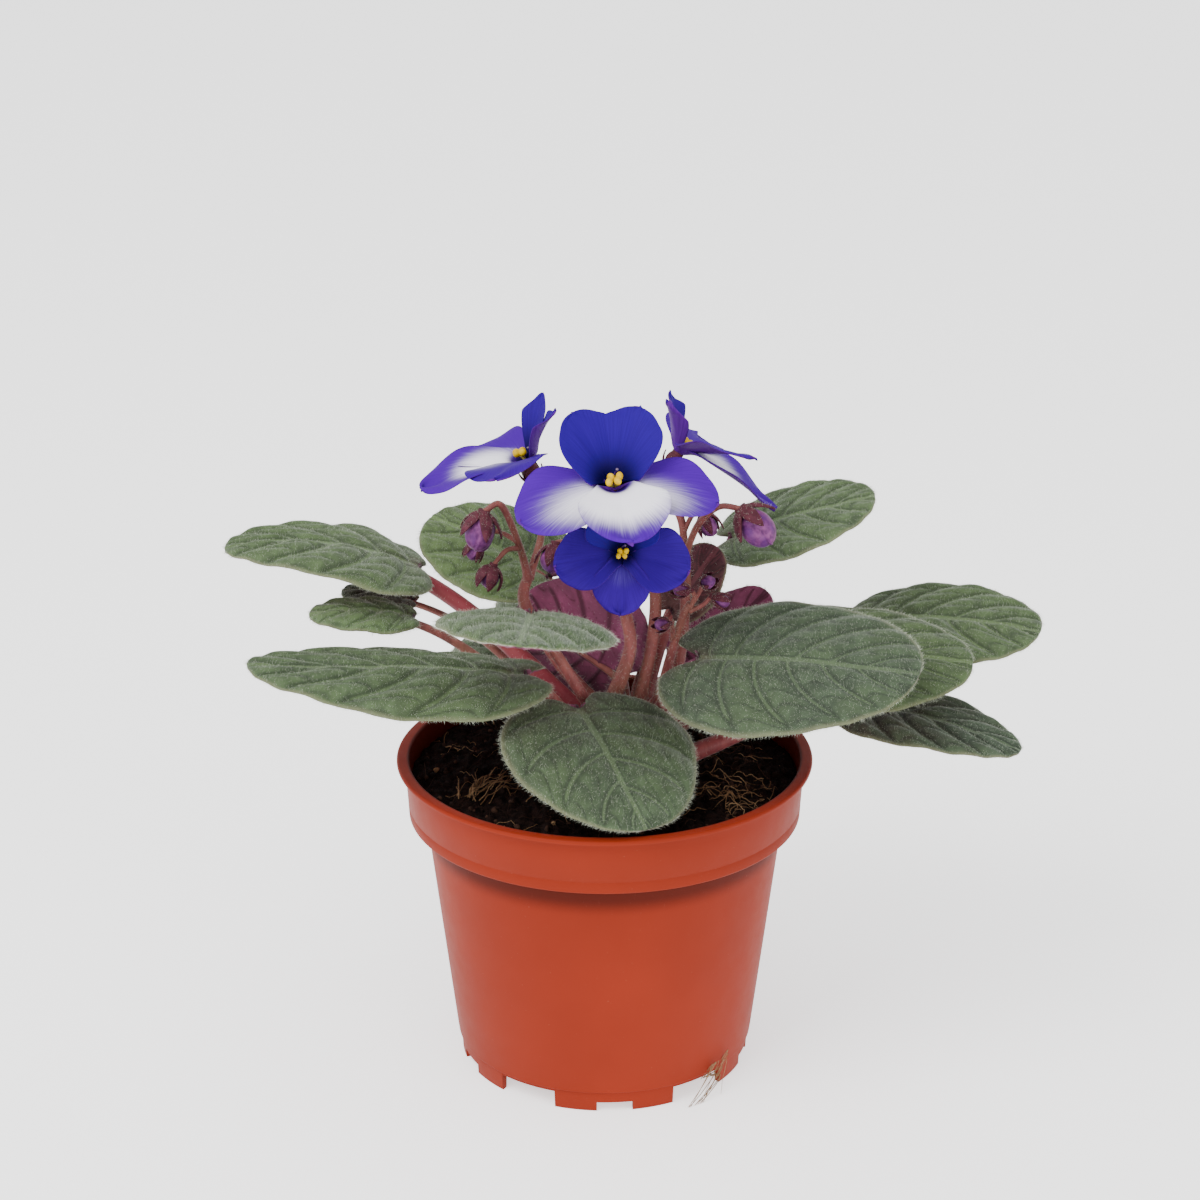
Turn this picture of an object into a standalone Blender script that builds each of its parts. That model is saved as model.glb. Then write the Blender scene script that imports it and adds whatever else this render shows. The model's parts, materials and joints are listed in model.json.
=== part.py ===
"""A potted African violet: a plastic nursery pot, its potting mix and a rosette of leaves with flower stalks.

Lengths in this file are millimetres, and every mesh is written in metres. The origin is the centre of the
circle that the pot stands on, +Z is up along the pot's axis and -Y is the plant's front. A bearing is an
angle about +Z from +X, so a bearing of -90 degrees is the front.
"""

import math
from collections import namedtuple

import bmesh
import bpy
import numpy as np
from mathutils import Matrix, Vector

MM = 0.001
GAP = 0.3

# Pot
RIM_RADIUS = 50.0
POT_HEIGHT = 78.1
WALL = 1.0
LIP_HEIGHT = 1.4
LIP_OVERHANG = 2.0
COLLAR_HEIGHT = 14.5
COLLAR_FOOT_RADIUS = 47.2
SHOULDER_RADIUS = 43.1
BODY_FOOT_RADIUS = 36.1
FOOT_RADIUS = 35.5
FOOT_HEIGHT = 5.3
FLOOR_HEIGHT = 5.3
FLOOR_THICKNESS = 1.2
POT_SIDES = 48
SOIL_SIDES = 32
NOTCH_COUNT = 5
NOTCH_FIRST_BEARING = -122.0
LARGE_NOTCH = (15.0, 4.4)
SMALL_NOTCH = (8.6, 2.4)
DRAIN_RADIUS = 4.0
DRAIN_REACH = 27.0
PAD_RADIUS = 6.0

# Potting mix
SOIL_EDGE_HEIGHT = 73.4
SOIL_CENTRE_HEIGHT = 75.0

# Crown: the short stem that every leaf and stalk grows from
CROWN_PLACE = (4.0, 2.0)
CROWN_RADIUS = 7.4
CROWN_TOP_RADIUS = 2.6
CROWN_HEIGHT = 14.0

BLADE_THICKNESS = 1.2
BLADE_ROWS = 9
BLADE_HALF_COLUMNS = 3
TUBE_RESOLUTION = 1


Leaf = namedtuple("Leaf", "bearing height rise joint tip width lobe taper roll droop cup swell")
# bearing, height: where the petiole leaves the crown, in degrees about it and in mm up it.
# rise: how steeply it leaves, in degrees. joint, tip: where the blade starts and ends.
# width, lobe: its breadth, and how far its base reaches back past the joint. taper: how much narrower it
# is towards the tip than towards the base. roll: its lean to one side.
# droop, cup: how far it bends along and across, in degrees. swell: the petiole's thickness at the crown.
LEAVES = {
    "leaf_left_high": Leaf(184, 8, 44, (-45, 15, 120), (-90, 6, 128), 36, 4, 0.34, -2, 38, -14, 5.4),
    "leaf_left_small": Leaf(180, 3, 30, (-46, 4, 111.5), (-70, 0, 113.5), 18, 2, 0.14, -5, 26, -15, 3.0),
    "leaf_left_tiny": Leaf(155, 3, 30, (-47, 20, 110), (-64, 22, 111), 14, 2, 0.14, -5, 16, -20, 2.4),
    "leaf_left_low": Leaf(216, 2, 44, (-19, -13, 104), (-82, -26, 111), 36, 7, 0.2, -3, 3, -32, 4.4),
    "leaf_front_left": Leaf(236, 8, 50, (-17, -16, 120), (-19, -51, 126), 41, 5, 0.14, -5, 8, -12, 3.2),
    "leaf_front": Leaf(264, 2, 50, (-6, -15, 96), (9, -47, 79.5), 46, 6, 0.2, -2, 18, -12, 3.2),
    "leaf_right_front": Leaf(-36, 4, 60, (22, -13, 108), (71, -36, 113), 45, 9, 0.14, 23, 12, -14, 4.2),
    "leaf_right_low": Leaf(-62, 2, 8, (56, -1, 92.5), (97, -20, 87), 29, 2, 0.3, 3, 16, -6, 5.0),
    "leaf_right_mid": Leaf(0, 3.5, 40, (31, 2, 103), (87, -5, 103), 36, 5, 0.14, 25, 17, -16, 4.2),
    "leaf_right_far": Leaf(26, 2, 20, (63, 32, 100), (105, 12, 104), 36, 5, 0.14, 15, 21, -14, 4.0),
    "leaf_right_high": Leaf(54, 6, 60, (31, 23, 125), (65, 20, 136), 35, 5, 0.14, 10, 12, -7, 4.0),
    "leaf_back_left": Leaf(84, 9, 56, (-14, 23, 115), (-43, 39, 124), 36, 4, 0.14, -13, 12, -4, 4.0),
    "leaf_back": Leaf(102, 2, 34, (-6, 36, 96), (-16, 78, 92), 36, 5, 0.14, 0, 20, -16, 4.4),
    "leaf_back_right": Leaf(67, 2, 34, (22, 34, 92), (42, 66, 87), 30, 5, 0.14, 0, 18, -16, 4.2),
    "leaf_back_low": Leaf(132, 1.5, 4, (-13, 27, 87), (-34, 60, 84), 29, 4, 0.14, 0, 16, -14, 3.8),
    "leaf_inner_left": Leaf(132, 12, 70, (4, 5, 96), (-21, 13, 111), 39, 4, 0.14, 80, -4, 16, 3.0),
    "leaf_inner_right": Leaf(24, 9, 40, (21, 20, 91), (40, 28, 109), 20, 3, 0.3, 46, -5, 15, 2.8),
    "leaf_inner_small": Leaf(50, 12, 70, (16, 8, 112), (27, 10, 127), 15, 2, 0.14, 60, -10, 20, 2.0),
}

Flower = namedtuple("Flower", "throat heading elevation spin size lip")
# heading, elevation: which way the lower lip faces. spin: its turn about that line. lip: how much longer the
# lowest lobe is than in LOBES.
FLOWERS = {
    "flower_middle": Flower((2, -20, 154), -88, 66, 4, 1.0, 1.0),
    "flower_low": Flower((4, -20, 137), -90, 32, 0, 0.7, 1.0),
    "flower_left": Flower((-19, 16, 148), 188, 70, 0, 0.92, 1.38),
    "flower_right": Flower((18.5, 16, 150.5), 6, 58, 0, 0.86, 1.5),
}
# The corolla's five lobes: each one's bearing in the flower's own plane, half its share of the circle in
# degrees, and its length. The notches between them: each one's bearing and how far out it is.
LOBES = ((56, 34, 17.5), (124, 34, 17.5), (-12, 34, 23.0), (192, 34, 23.0), (270, 44, 20.5))
NOTCHES = ((-46, 15.5), (22, 8.5), (90, 14.5), (158, 8.5), (226, 15.5), (314, 15.5))
UPPER_LIFT = 45.0
THROAT_DEPTH = 2.5
COROLLA_THICKNESS = 0.9
COROLLA_COLUMNS = 36

Bud = namedtuple("Bud", "base heading elevation length width")
BUDS = {
    "bud_left": Bud((-28, -6, 141.5), 200, -78, 9.5, 7.2),
    "bud_left_low": Bud((-26, -5, 128), 200, -70, 5.4, 5.0),
    "bud_left_small": Bud((-29.5, 1, 132), 210, -60, 4.8, 3.8),
    "bud_centre_left": Bud((-11.5, -1, 132), -120, -72, 7.0, 6.0),
    "bud_right": Bud((31.5, -8, 143), -8, -48, 11.0, 8.0),
    "bud_right_back": Bud((23, 6.5, 137), -30, -60, 6.0, 4.4),
    "bud_low_a": Bud((20, -8, 123), 200, 10, 4.2, 3.2),
    "bud_low_b": Bud((23, -8, 124.5), -60, 30, 4.4, 3.2),
    "bud_low_c": Bud((25, -7, 121), -10, -20, 4.4, 3.2),
    "bud_low_d": Bud((15, -9, 115), 220, 10, 4.0, 3.0),
}
CALYX_HEIGHT = 0.4

Branch = namedtuple("Branch", "thickness points end")
STALKS = {
    "stalk_left": (
        Branch((3.4, 2.6), ((-3, 4, 90), (-12, 5, 101), (-19, 4, 115), (-18, 3, 123)), None),
        Branch((2.0, 1.4), ((-18, 3, 121.5), (-20, 0, 131), (-24, -4, 142.5)), "bud_left"),
        Branch((1.3, 1.1), ((-20, 0, 130.5), (-23, -3, 131)), "bud_left_low"),
        Branch((1.2, 1.0), ((-20.5, -0.5, 132.5), (-25.5, 0.5, 134.5)), "bud_left_small"),
        Branch((2.0, 1.5), ((-18, 3, 121.5), (-15, 8, 131), (-16, 13, 138)), "flower_left"),
    ),
    "stalk_low": (
        Branch((3.6, 2.0), ((2, -2, 93), (6, -3, 106), (5, -3, 115), (3.5, -6, 124)), "flower_low"),
        Branch((1.4, 1.2), ((4, -4.5, 119.5), (-3, -2, 127), (-9, -1, 132)), "bud_centre_left"),
    ),
    "stalk_middle": (
        Branch((3.4, 2.0), ((8, -1, 91), (11, -0.5, 105), (12, 2, 118), (9, -4, 132)), "flower_middle"),
    ),
    "stalk_right": (
        Branch((3.0, 2.4), ((11, 3, 88), (17, 3, 98), (19, 3, 112), (19, 4, 129)), None),
        Branch((2.0, 1.5), ((19, 4, 127.5), (18, 8, 135), (14.5, 13, 140)), "flower_right"),
        Branch((1.8, 1.3), ((19, 4, 127.5), (22, 0, 136.5), (26.5, -5, 142.5)), "bud_right"),
        Branch((1.2, 1.0), ((18.5, 6.2, 131.5), (20.5, 6.5, 136)), "bud_right_back"),
    ),
    "stalk_young": (
        Branch((2.4, 1.8), ((12, 0, 88), (15.5, -3, 104), (18, -5, 114), (20, -6, 119)), None),
        Branch((1.2, 1.0), ((20, -6, 118), (21, -7, 121)), "bud_low_a"),
        Branch((1.2, 1.0), ((20, -6, 118), (22, -7, 122)), "bud_low_b"),
        Branch((1.2, 1.0), ((20, -6, 117), (23, -7, 119)), "bud_low_c"),
        Branch((1.2, 1.0), ((16, -4, 109), (16, -7, 113)), "bud_low_d"),
    ),
}

GREEN = (0.090, 0.160, 0.075)
TERRACOTTA = (0.560, 0.100, 0.045)
PEAT = (0.022, 0.011, 0.008)
CROWN_RED = (0.250, 0.060, 0.050)
STALK_RED = (0.300, 0.110, 0.090)
VIOLET = (0.065, 0.010, 0.800)
BUD_PURPLE = (0.150, 0.030, 0.160)
YELLOW = (0.860, 0.600, 0.020)


def clear_scene():
    for thing in list(bpy.data.objects):
        bpy.data.objects.remove(thing, do_unlink=True)


def material(name, colour, roughness, metallic=0.0):
    made = bpy.data.materials.new(name)
    made.use_nodes = True
    shader = made.node_tree.nodes["Principled BSDF"]
    shader.inputs["Base Color"].default_value = (*colour, 1.0)
    shader.inputs["Roughness"].default_value = roughness
    shader.inputs["Metallic"].default_value = metallic
    return made


def add_mesh(name, points, faces, look):
    """An object at the origin from points in mm, with coinciding points merged."""
    mesh = bpy.data.meshes.new(name)
    mesh.from_pydata([tuple(MM * float(c) for c in p) for p in points], [], faces)
    built = bmesh.new()
    built.from_mesh(mesh)
    bmesh.ops.remove_doubles(built, verts=built.verts, dist=1e-6)
    bmesh.ops.recalc_face_normals(built, faces=built.faces)
    built.to_mesh(mesh)
    built.free()
    mesh.materials.append(look)
    mesh.shade_smooth()
    thing = bpy.data.objects.new(name, mesh)
    bpy.context.scene.collection.objects.link(thing)
    return thing


def helper(thing):
    thing.hide_render = True
    thing.display_type = "WIRE"
    return thing


def boolean(thing, operation, other):
    cut = thing.modifiers.new(f"{operation.lower()} {other.name}", "BOOLEAN")
    cut.operation = operation
    cut.solver = "EXACT"
    cut.object = other
    return cut


def turned(name, profile, sides, look):
    """A profile of (radius, height) in mm, from the top down its outer side, turned about Z by a Screw."""
    points = [(r, 0.0, z) for r, z in profile]
    edges = [(i, i + 1) for i in range(len(profile) - 1)]
    mesh = bpy.data.meshes.new(name)
    mesh.from_pydata([tuple(MM * c for c in p) for p in points], edges, [])
    mesh.materials.append(look)
    thing = bpy.data.objects.new(name, mesh)
    bpy.context.scene.collection.objects.link(thing)
    screw = thing.modifiers.new("turn", "SCREW")
    screw.steps = sides
    screw.render_steps = sides
    screw.use_merge_vertices = True
    screw.merge_threshold = 1e-5
    screw.use_smooth_shade = True
    return thing


def box(name, size, centre, bearing):
    """A helper box with its length across the bearing, for a cut through a turned wall."""
    mesh = bpy.data.meshes.new(name)
    built = bmesh.new()
    bmesh.ops.create_cube(built, size=1.0)
    bmesh.ops.scale(built, vec=Vector(size) * MM, verts=built.verts)
    built.to_mesh(mesh)
    built.free()
    thing = bpy.data.objects.new(name, mesh)
    bpy.context.scene.collection.objects.link(thing)
    turn = Matrix.Rotation(math.radians(bearing), 4, "Z")
    thing.matrix_world = turn @ Matrix.Translation(Vector(centre) * MM)
    return helper(thing)


def bezier(ends, t):
    """Points of the cubic curve with these four control points, at the shares t of its length."""
    p = [np.array(e, float) for e in ends]
    t = np.asarray(t, float)[:, None]
    return (1 - t) ** 3 * p[0] + 3 * (1 - t) ** 2 * t * p[1] + 3 * (1 - t) * t**2 * p[2] + t**3 * p[3]


def tube_along(name, places, thickness, look):
    """A round stem along these points in mm, tapered from the first thickness to the second."""
    line = bpy.data.curves.new(name, "CURVE")
    line.dimensions = "3D"
    line.bevel_depth = 0.5 * MM
    line.bevel_resolution = TUBE_RESOLUTION
    line.use_fill_caps = True
    spline = line.splines.new("POLY")
    spline.points.add(len(places) - 1)
    for point, place, share in zip(spline.points, places, np.linspace(0, 1, len(places))):
        point.co = (*(place * MM), 1.0)
        point.radius = thickness[0] + (thickness[1] - thickness[0]) * share
    thing = bpy.data.objects.new(f"{name}_line", line)
    mesh = bpy.data.meshes.new_from_object(thing)
    bpy.data.objects.remove(thing, do_unlink=True)
    built = bmesh.new()
    built.from_mesh(mesh)
    bmesh.ops.remove_doubles(built, verts=built.verts, dist=1e-6)
    if built.calc_volume(signed=True) < 0:
        bmesh.ops.reverse_faces(built, faces=built.faces)
    built.to_mesh(mesh)
    built.free()
    mesh.materials.clear()
    mesh.materials.append(look)
    made = bpy.data.objects.new(name, mesh)
    bpy.context.scene.collection.objects.link(made)
    return made


def tube(name, ends, thickness, look, steps=6):
    """A round stem along the cubic curve with these four control points."""
    return tube_along(name, bezier(ends, np.linspace(0, 1, steps + 1)), thickness, look)


def around(bearing, reach, height):
    """The point this far from the pot's axis on this bearing, in mm."""
    angle = math.radians(bearing)
    return np.array([reach * math.cos(angle), reach * math.sin(angle), height])


def pointing(bearing, slope):
    """The unit vector on this bearing and this many degrees above the level."""
    level = math.cos(math.radians(slope))
    return around(bearing, level, math.sin(math.radians(slope)))


def axes(forward, roll=0.0):
    """Columns: forward, the side that is level at no roll, and the upper normal. Roll turns the last two."""
    ahead = np.array(forward, float)
    ahead /= np.linalg.norm(ahead)
    side = np.cross((0.0, 0.0, 1.0), ahead)
    side /= np.linalg.norm(side)
    up = np.cross(ahead, side)
    angle = math.radians(roll)
    leaned = side * math.cos(angle) + up * math.sin(angle)
    return np.stack([ahead, leaned, np.cross(ahead, leaned)], axis=1)


def leaf_frame(leaf):
    """The blade's length and its axes at the joint, which look up from the tip's line by half the droop."""
    chord = np.subtract(leaf.tip, leaf.joint).astype(float)
    half = math.radians(leaf.droop) / 2
    turn = np.array(Matrix.Rotation(-half, 3, "Y"))
    return np.linalg.norm(chord) * half / math.sin(half), axes(chord, leaf.roll) @ turn


def crown_radius(height):
    share = min(max(height / CROWN_HEIGHT, 0.0), 1.0)
    return CROWN_RADIUS + (CROWN_TOP_RADIUS - CROWN_RADIUS) * share


def blade_points(leaf, rows, half_columns):
    """Rows of points from side to side. A row runs from the midrib out to the margin as the side veins do.

    The margin is an oval whose base is drawn back into two lobes, and the midrib's points lag behind it, so
    the rows sweep forward. The flat blade is then bent to one arc across and to another along its midrib.
    """
    length, frame = leaf_frame(leaf)
    u = np.linspace(0, 1, rows + 1)[:, None]
    v = np.linspace(-1, 1, 2 * half_columns + 1)[None, :]
    angle = math.pi * (1 - u)
    long_half = (length + leaf.lobe) / 2
    margin_x = length - long_half + long_half * np.cos(angle)
    margin_x = margin_x + leaf.lobe * np.exp(-((math.pi * u / 0.42) ** 2))
    margin_y = leaf.width / 2 * np.clip(np.sin(angle), 0, 1) ** 0.86 * (1 - leaf.taper * np.cos(angle))
    midrib_x = length * u**1.2
    out = np.abs(v)
    x = midrib_x + (margin_x - midrib_x) * out - 0.22 * (margin_x - midrib_x) * out * (1 - out)
    y = margin_y * v
    curl = math.radians(leaf.cup) / (leaf.width / 2)
    z = (1 - np.cos(curl * y)) / curl
    y = np.sin(curl * y) / curl
    bend = math.radians(leaf.droop) / length
    arc = 1 / bend + z
    points = np.stack([np.sin(bend * x) * arc, y, arc * np.cos(bend * x) - 1 / bend], axis=-1)
    return points @ frame.T + np.array(leaf.joint, float)


def grid_faces(rows, columns):
    return [
        (i * columns + j, (i + 1) * columns + j, (i + 1) * columns + j + 1, i * columns + j + 1)
        for i in range(rows - 1)
        for j in range(columns - 1)
    ]


def petiole_ends(leaf):
    """The petiole's four control points: from the crown's side to a little past the blade's notch."""
    length, frame = leaf_frame(leaf)
    out = crown_radius(leaf.height) + GAP + 0.3 * leaf.swell
    root = around(leaf.bearing, out, SOIL_CENTRE_HEIGHT + 1.0 + leaf.height) + np.array([*CROWN_PLACE, 0.0])
    joint = np.array(leaf.joint, float)
    run = np.linalg.norm(joint - root)
    depth = 0.31 * leaf.swell - 0.2
    end = joint + frame @ np.array([0.09 * length, 0.0, -depth])
    before = joint + frame @ np.array([-0.36 * run, 0.0, -depth - 0.8])
    return [root, root + 0.4 * run * pointing(leaf.bearing, leaf.rise), before, end]


def make_leaf(name, leaf, look):
    columns = 2 * BLADE_HALF_COLUMNS + 1
    points = blade_points(leaf, BLADE_ROWS, BLADE_HALF_COLUMNS).reshape(-1, 3)
    blade = add_mesh(name, points, grid_faces(BLADE_ROWS + 1, columns), look)
    solid = blade.modifiers.new("thickness", "SOLIDIFY")
    solid.thickness = BLADE_THICKNESS * MM
    solid.offset = 0.0
    stem = tube(f"{name}_petiole", petiole_ends(leaf), (leaf.swell, 0.62 * leaf.swell), look)
    boolean(blade, "UNION", helper(stem))
    return blade


def make_pot(look):
    top = POT_HEIGHT
    collar_foot = POT_HEIGHT - COLLAR_HEIGHT
    under_lip = top - LIP_HEIGHT
    collar_top_radius = RIM_RADIUS - LIP_OVERHANG
    inner_rim = collar_top_radius - WALL
    profile = [
        (inner_rim + 0.5, top),
        (RIM_RADIUS - 0.5, top),
        (RIM_RADIUS, top - 0.4),
        (RIM_RADIUS - 0.1, under_lip + 0.2),
        (collar_top_radius, under_lip),
        (COLLAR_FOOT_RADIUS, collar_foot + 0.5),
        (COLLAR_FOOT_RADIUS - 0.6, collar_foot),
        (SHOULDER_RADIUS, collar_foot - 0.3),
        (BODY_FOOT_RADIUS, FOOT_HEIGHT),
        (FOOT_RADIUS, FOOT_HEIGHT - 0.3),
        (FOOT_RADIUS - 0.3, 0.0),
        (FOOT_RADIUS - 1.8, 0.0),
        (FOOT_RADIUS - 2.0, FLOOR_HEIGHT - 1.0),
        (FOOT_RADIUS - 3.0, FLOOR_HEIGHT),
        (PAD_RADIUS + 0.6, FLOOR_HEIGHT),
        (PAD_RADIUS, FLOOR_HEIGHT - 0.6),
        (PAD_RADIUS - 0.2, 0.0),
        (0.0, 0.0),
        (0.0, FLOOR_HEIGHT + FLOOR_THICKNESS),
        (BODY_FOOT_RADIUS - WALL - 1.0, FLOOR_HEIGHT + FLOOR_THICKNESS),
        (BODY_FOOT_RADIUS - WALL + 0.1, FLOOR_HEIGHT + FLOOR_THICKNESS + 1.0),
        (SHOULDER_RADIUS - WALL, collar_foot + 0.6),
        (COLLAR_FOOT_RADIUS - WALL, collar_foot + 1.4),
        (inner_rim, top - 0.5),
        (inner_rim + 0.5, top),
    ]
    pot = turned("pot", profile, POT_SIDES, look)
    spacing = 360.0 / NOTCH_COUNT
    for i in range(NOTCH_COUNT):
        for kind, (width, height), turn in (("large", LARGE_NOTCH, 0.0), ("small", SMALL_NOTCH, spacing / 2)):
            bearing = NOTCH_FIRST_BEARING + spacing * i + turn
            depth = 6.0
            size = (depth, width, 2 * height)
            cut = box(f"notch_{kind}_{i}", size, (FOOT_RADIUS, 0.0, 0.0), bearing)
            boolean(pot, "DIFFERENCE", cut)
        bearing = NOTCH_FIRST_BEARING + spacing * i
        drain = turned(
            f"drain_{i}",
            [(0.0, FLOOR_HEIGHT + 4.0), (DRAIN_RADIUS, FLOOR_HEIGHT + 4.0), (DRAIN_RADIUS, 2.0), (0.0, 2.0)],
            12,
            look,
        )
        drain.location = Vector(around(bearing, DRAIN_REACH, 0.0)) * MM
        boolean(pot, "DIFFERENCE", helper(drain))
    return pot


def make_soil(look):
    collar_foot = POT_HEIGHT - COLLAR_HEIGHT
    inner_rim = RIM_RADIUS - LIP_OVERHANG - WALL
    ledge = collar_foot + 1.4
    share = (SOIL_EDGE_HEIGHT - ledge) / (POT_HEIGHT - 0.5 - ledge)
    edge = COLLAR_FOOT_RADIUS - WALL + (inner_rim - COLLAR_FOOT_RADIUS + WALL) * share
    profile = [
        (0.0, SOIL_CENTRE_HEIGHT),
        (0.5 * edge, SOIL_CENTRE_HEIGHT - 0.3),
        (edge - 2.0, SOIL_EDGE_HEIGHT + 0.2),
        (edge - GAP, SOIL_EDGE_HEIGHT - 1.0),
        (COLLAR_FOOT_RADIUS - WALL - GAP, ledge + 0.2),
        (SHOULDER_RADIUS - WALL - GAP, collar_foot + 0.9),
        (BODY_FOOT_RADIUS - WALL - GAP, FLOOR_HEIGHT + FLOOR_THICKNESS + 1.2),
        (BODY_FOOT_RADIUS - WALL - 1.4, FLOOR_HEIGHT + FLOOR_THICKNESS + GAP),
        (0.0, FLOOR_HEIGHT + FLOOR_THICKNESS + GAP),
    ]
    return turned("potting_mix", profile, SOIL_SIDES, look)


def make_crown(look):
    base = SOIL_CENTRE_HEIGHT + GAP
    profile = [
        (0.0, base + CROWN_HEIGHT + 1.0),
        (0.6 * CROWN_TOP_RADIUS, base + CROWN_HEIGHT + 0.6),
        (CROWN_TOP_RADIUS, base + CROWN_HEIGHT - 0.6),
        (CROWN_RADIUS, base + 0.4),
        (CROWN_RADIUS - 0.4, base),
        (0.0, base),
    ]
    crown = turned("crown", profile, 16, look)
    crown.location = Vector((*CROWN_PLACE, 0.0)) * MM
    return crown


def through(points, steps):
    """A smooth line through these points, with this many steps between each two."""
    p = np.array(points, float)
    p = np.vstack([2 * p[0] - p[1], p, 2 * p[-1] - p[-2]])
    line = [p[1]]
    for a, b, c, d in zip(p[:-3], p[1:-2], p[2:-1], p[3:]):
        line += list(bezier([b, b + (c - a) / 6, c - (d - b) / 6, c], np.linspace(0, 1, steps + 1)[1:]))
    return np.array(line)


def facing(heading, elevation, spin=0.0):
    """Columns: a flower's right, its top and the way it faces."""
    normal = pointing(heading, elevation)
    right = around(heading + 90, 1.0, 0.0)
    top = np.cross(normal, right)
    angle = math.radians(spin)
    turned_right = right * math.cos(angle) + top * math.sin(angle)
    return np.stack([turned_right, np.cross(normal, turned_right), normal], axis=1)


def cup(name, base, axis, height, radius, look):
    """A flared cup with a flat rim, its rim centred on the base point and facing along the axis."""
    profile = [(0.0, 0.0), (radius, 0.0), (0.8 * radius, -0.45 * height), (0.3 * radius, -height), (0.0, -height)]
    made = turned(name, profile, 6, look)
    turn = Vector(axis).to_track_quat("Z", "Y")
    made.matrix_world = Matrix.LocRotScale(Vector(base) * MM, turn, None)
    return made


def ellipsoid(name, centre, frame, radii, look, rings=6, segments=8):
    mesh = bpy.data.meshes.new(name)
    built = bmesh.new()
    bmesh.ops.create_uvsphere(built, u_segments=segments, v_segments=rings, radius=1.0)
    for point in built.verts:
        place = frame @ (np.array(point.co) * np.array(radii)) + np.array(centre, float)
        point.co = Vector(place) * MM
    built.to_mesh(mesh)
    built.free()
    mesh.materials.append(look)
    mesh.shade_smooth()
    thing = bpy.data.objects.new(name, mesh)
    bpy.context.scene.collection.objects.link(thing)
    return thing


def lobe_length(bearing, lip):
    """The corolla's reach on a bearing in its own plane: five rounded lobes with a notch between each two."""
    within = (np.asarray(bearing, float) + 46) % 360 - 46
    notch = np.interp(within, *np.transpose(NOTCHES))
    reach = notch.copy()
    for middle, half, length in LOBES:
        off = np.abs((bearing - middle + 180) % 360 - 180) / half
        length = length * (lip if middle == 270 else 1.0)
        lobe = notch + (length - notch) * np.cos(np.clip(off, 0, 1) * math.pi / 2) ** 0.5
        reach = np.maximum(reach, lobe)
    return reach


def make_corolla(name, flower, look):
    """Rings about the throat. The two upper lobes are bent forward about the throat by UPPER_LIFT."""
    bearing = np.linspace(0, 360, COROLLA_COLUMNS + 1)[None, :]
    share = np.array([0.0, 0.16, 0.4, 0.7, 1.0])[:, None]
    radius = share * lobe_length(bearing, flower.lip)
    upper = 0.5 + 0.5 * np.tanh((np.sin(np.radians(bearing)) - 0.38) / 0.14)
    lift = np.radians(UPPER_LIFT) * upper
    flat = 2.5 + (radius - 2.5) * np.cos(lift)
    level = np.where(radius > 2.5, flat, radius)
    height = np.maximum(radius - 2.5, 0) * np.sin(lift) - THROAT_DEPTH * np.exp(-((radius / 3.0) ** 2))
    angle = np.radians(bearing)
    local = np.stack([level * np.cos(angle), level * np.sin(angle), height], axis=-1) * flower.size
    frame = facing(flower.heading, flower.elevation, flower.spin)
    points = (local @ frame.T + np.array(flower.throat, float)).reshape(-1, 3)
    corolla = add_mesh(name, points, grid_faces(len(share), COROLLA_COLUMNS + 1), look)
    solid = corolla.modifiers.new("thickness", "SOLIDIFY")
    solid.thickness = COROLLA_THICKNESS * MM
    solid.offset = 0.0
    return corolla


def make_flower(name, flower, looks):
    """A corolla, its pair of anthers and its pistil, each one piece with a small gap to the next."""
    frame = facing(flower.heading, flower.elevation, flower.spin)
    throat = np.array(flower.throat, float)
    make_corolla(f"corolla_{name}", flower, looks["petal"])
    size = flower.size
    halves = []
    for side in (-0.95, 0.95):
        centre = throat + frame @ np.array([side, -0.9, 1.2]) * size
        radii = np.array([1.4, 1.7, 1.3]) * size
        halves.append(ellipsoid(f"anthers_{name}", centre, frame, radii, looks["anther"], 4, 8))
    foot = throat + frame @ np.array([0.0, -0.3 * size, 2 * GAP + COROLLA_THICKNESS / 2 - 2.25 * size])
    top = throat + frame @ np.array([0.2, -0.7, 1.4]) * size
    filament = tube_along(f"filament_{name}", np.array([foot, top]), (0.9, 0.7), looks["anther"])
    boolean(halves[0], "UNION", helper(halves[1]))
    boolean(halves[0], "UNION", helper(filament))
    foot = throat + frame @ np.array([0.0, 1.7 * size, 2 * GAP + 0.6 - 1.55 * size])
    end = throat + frame @ np.array([2.4, 3.2, 6.6]) * size
    ends = [foot, foot + frame[:, 2] * 2.0, end - frame[:, 2] * 2.0, end]
    tube(f"pistil_{name}", ends, (0.8, 0.7), looks["pistil"], steps=3)


def make_bud(name, bud, look):
    axis = pointing(bud.heading, bud.elevation)
    centre = np.array(bud.base, float) + axis * (GAP + bud.length / 2)
    half = bud.width / 2
    return ellipsoid(name, centre, facing(bud.heading, bud.elevation), (half, half, bud.length / 2), look)


def stalk_end(name):
    """The calyx at a branch's end: its rim's centre, axis, height and radius."""
    if name in FLOWERS:
        flower = FLOWERS[name]
        axis = pointing(flower.heading, flower.elevation)
        rim = np.array(flower.throat, float) - axis * (THROAT_DEPTH * flower.size + COROLLA_THICKNESS / 2 + GAP)
        return rim, axis, 4.0 * flower.size, 2.7 * flower.size
    bud = BUDS[name]
    return np.array(bud.base, float), pointing(bud.heading, bud.elevation), CALYX_HEIGHT * bud.width, 0.4 * bud.width


def make_stalk(name, branches, look):
    whole = None
    for i, branch in enumerate(branches):
        points = list(branch.points)
        pieces = []
        if branch.end:
            rim, axis, height, radius = stalk_end(branch.end)
            points += [rim - axis * (0.75 * height)]
            pieces.append(cup(f"{name}_calyx_{i}", rim, axis, height, radius, look))
        line = through(points, 3)
        pieces.insert(0, tube_along(name if whole is None else f"{name}_{i}", line, branch.thickness, look))
        for piece in pieces:
            if whole is None:
                whole = piece
            else:
                boolean(whole, "UNION", helper(piece))
    return whole


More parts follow.
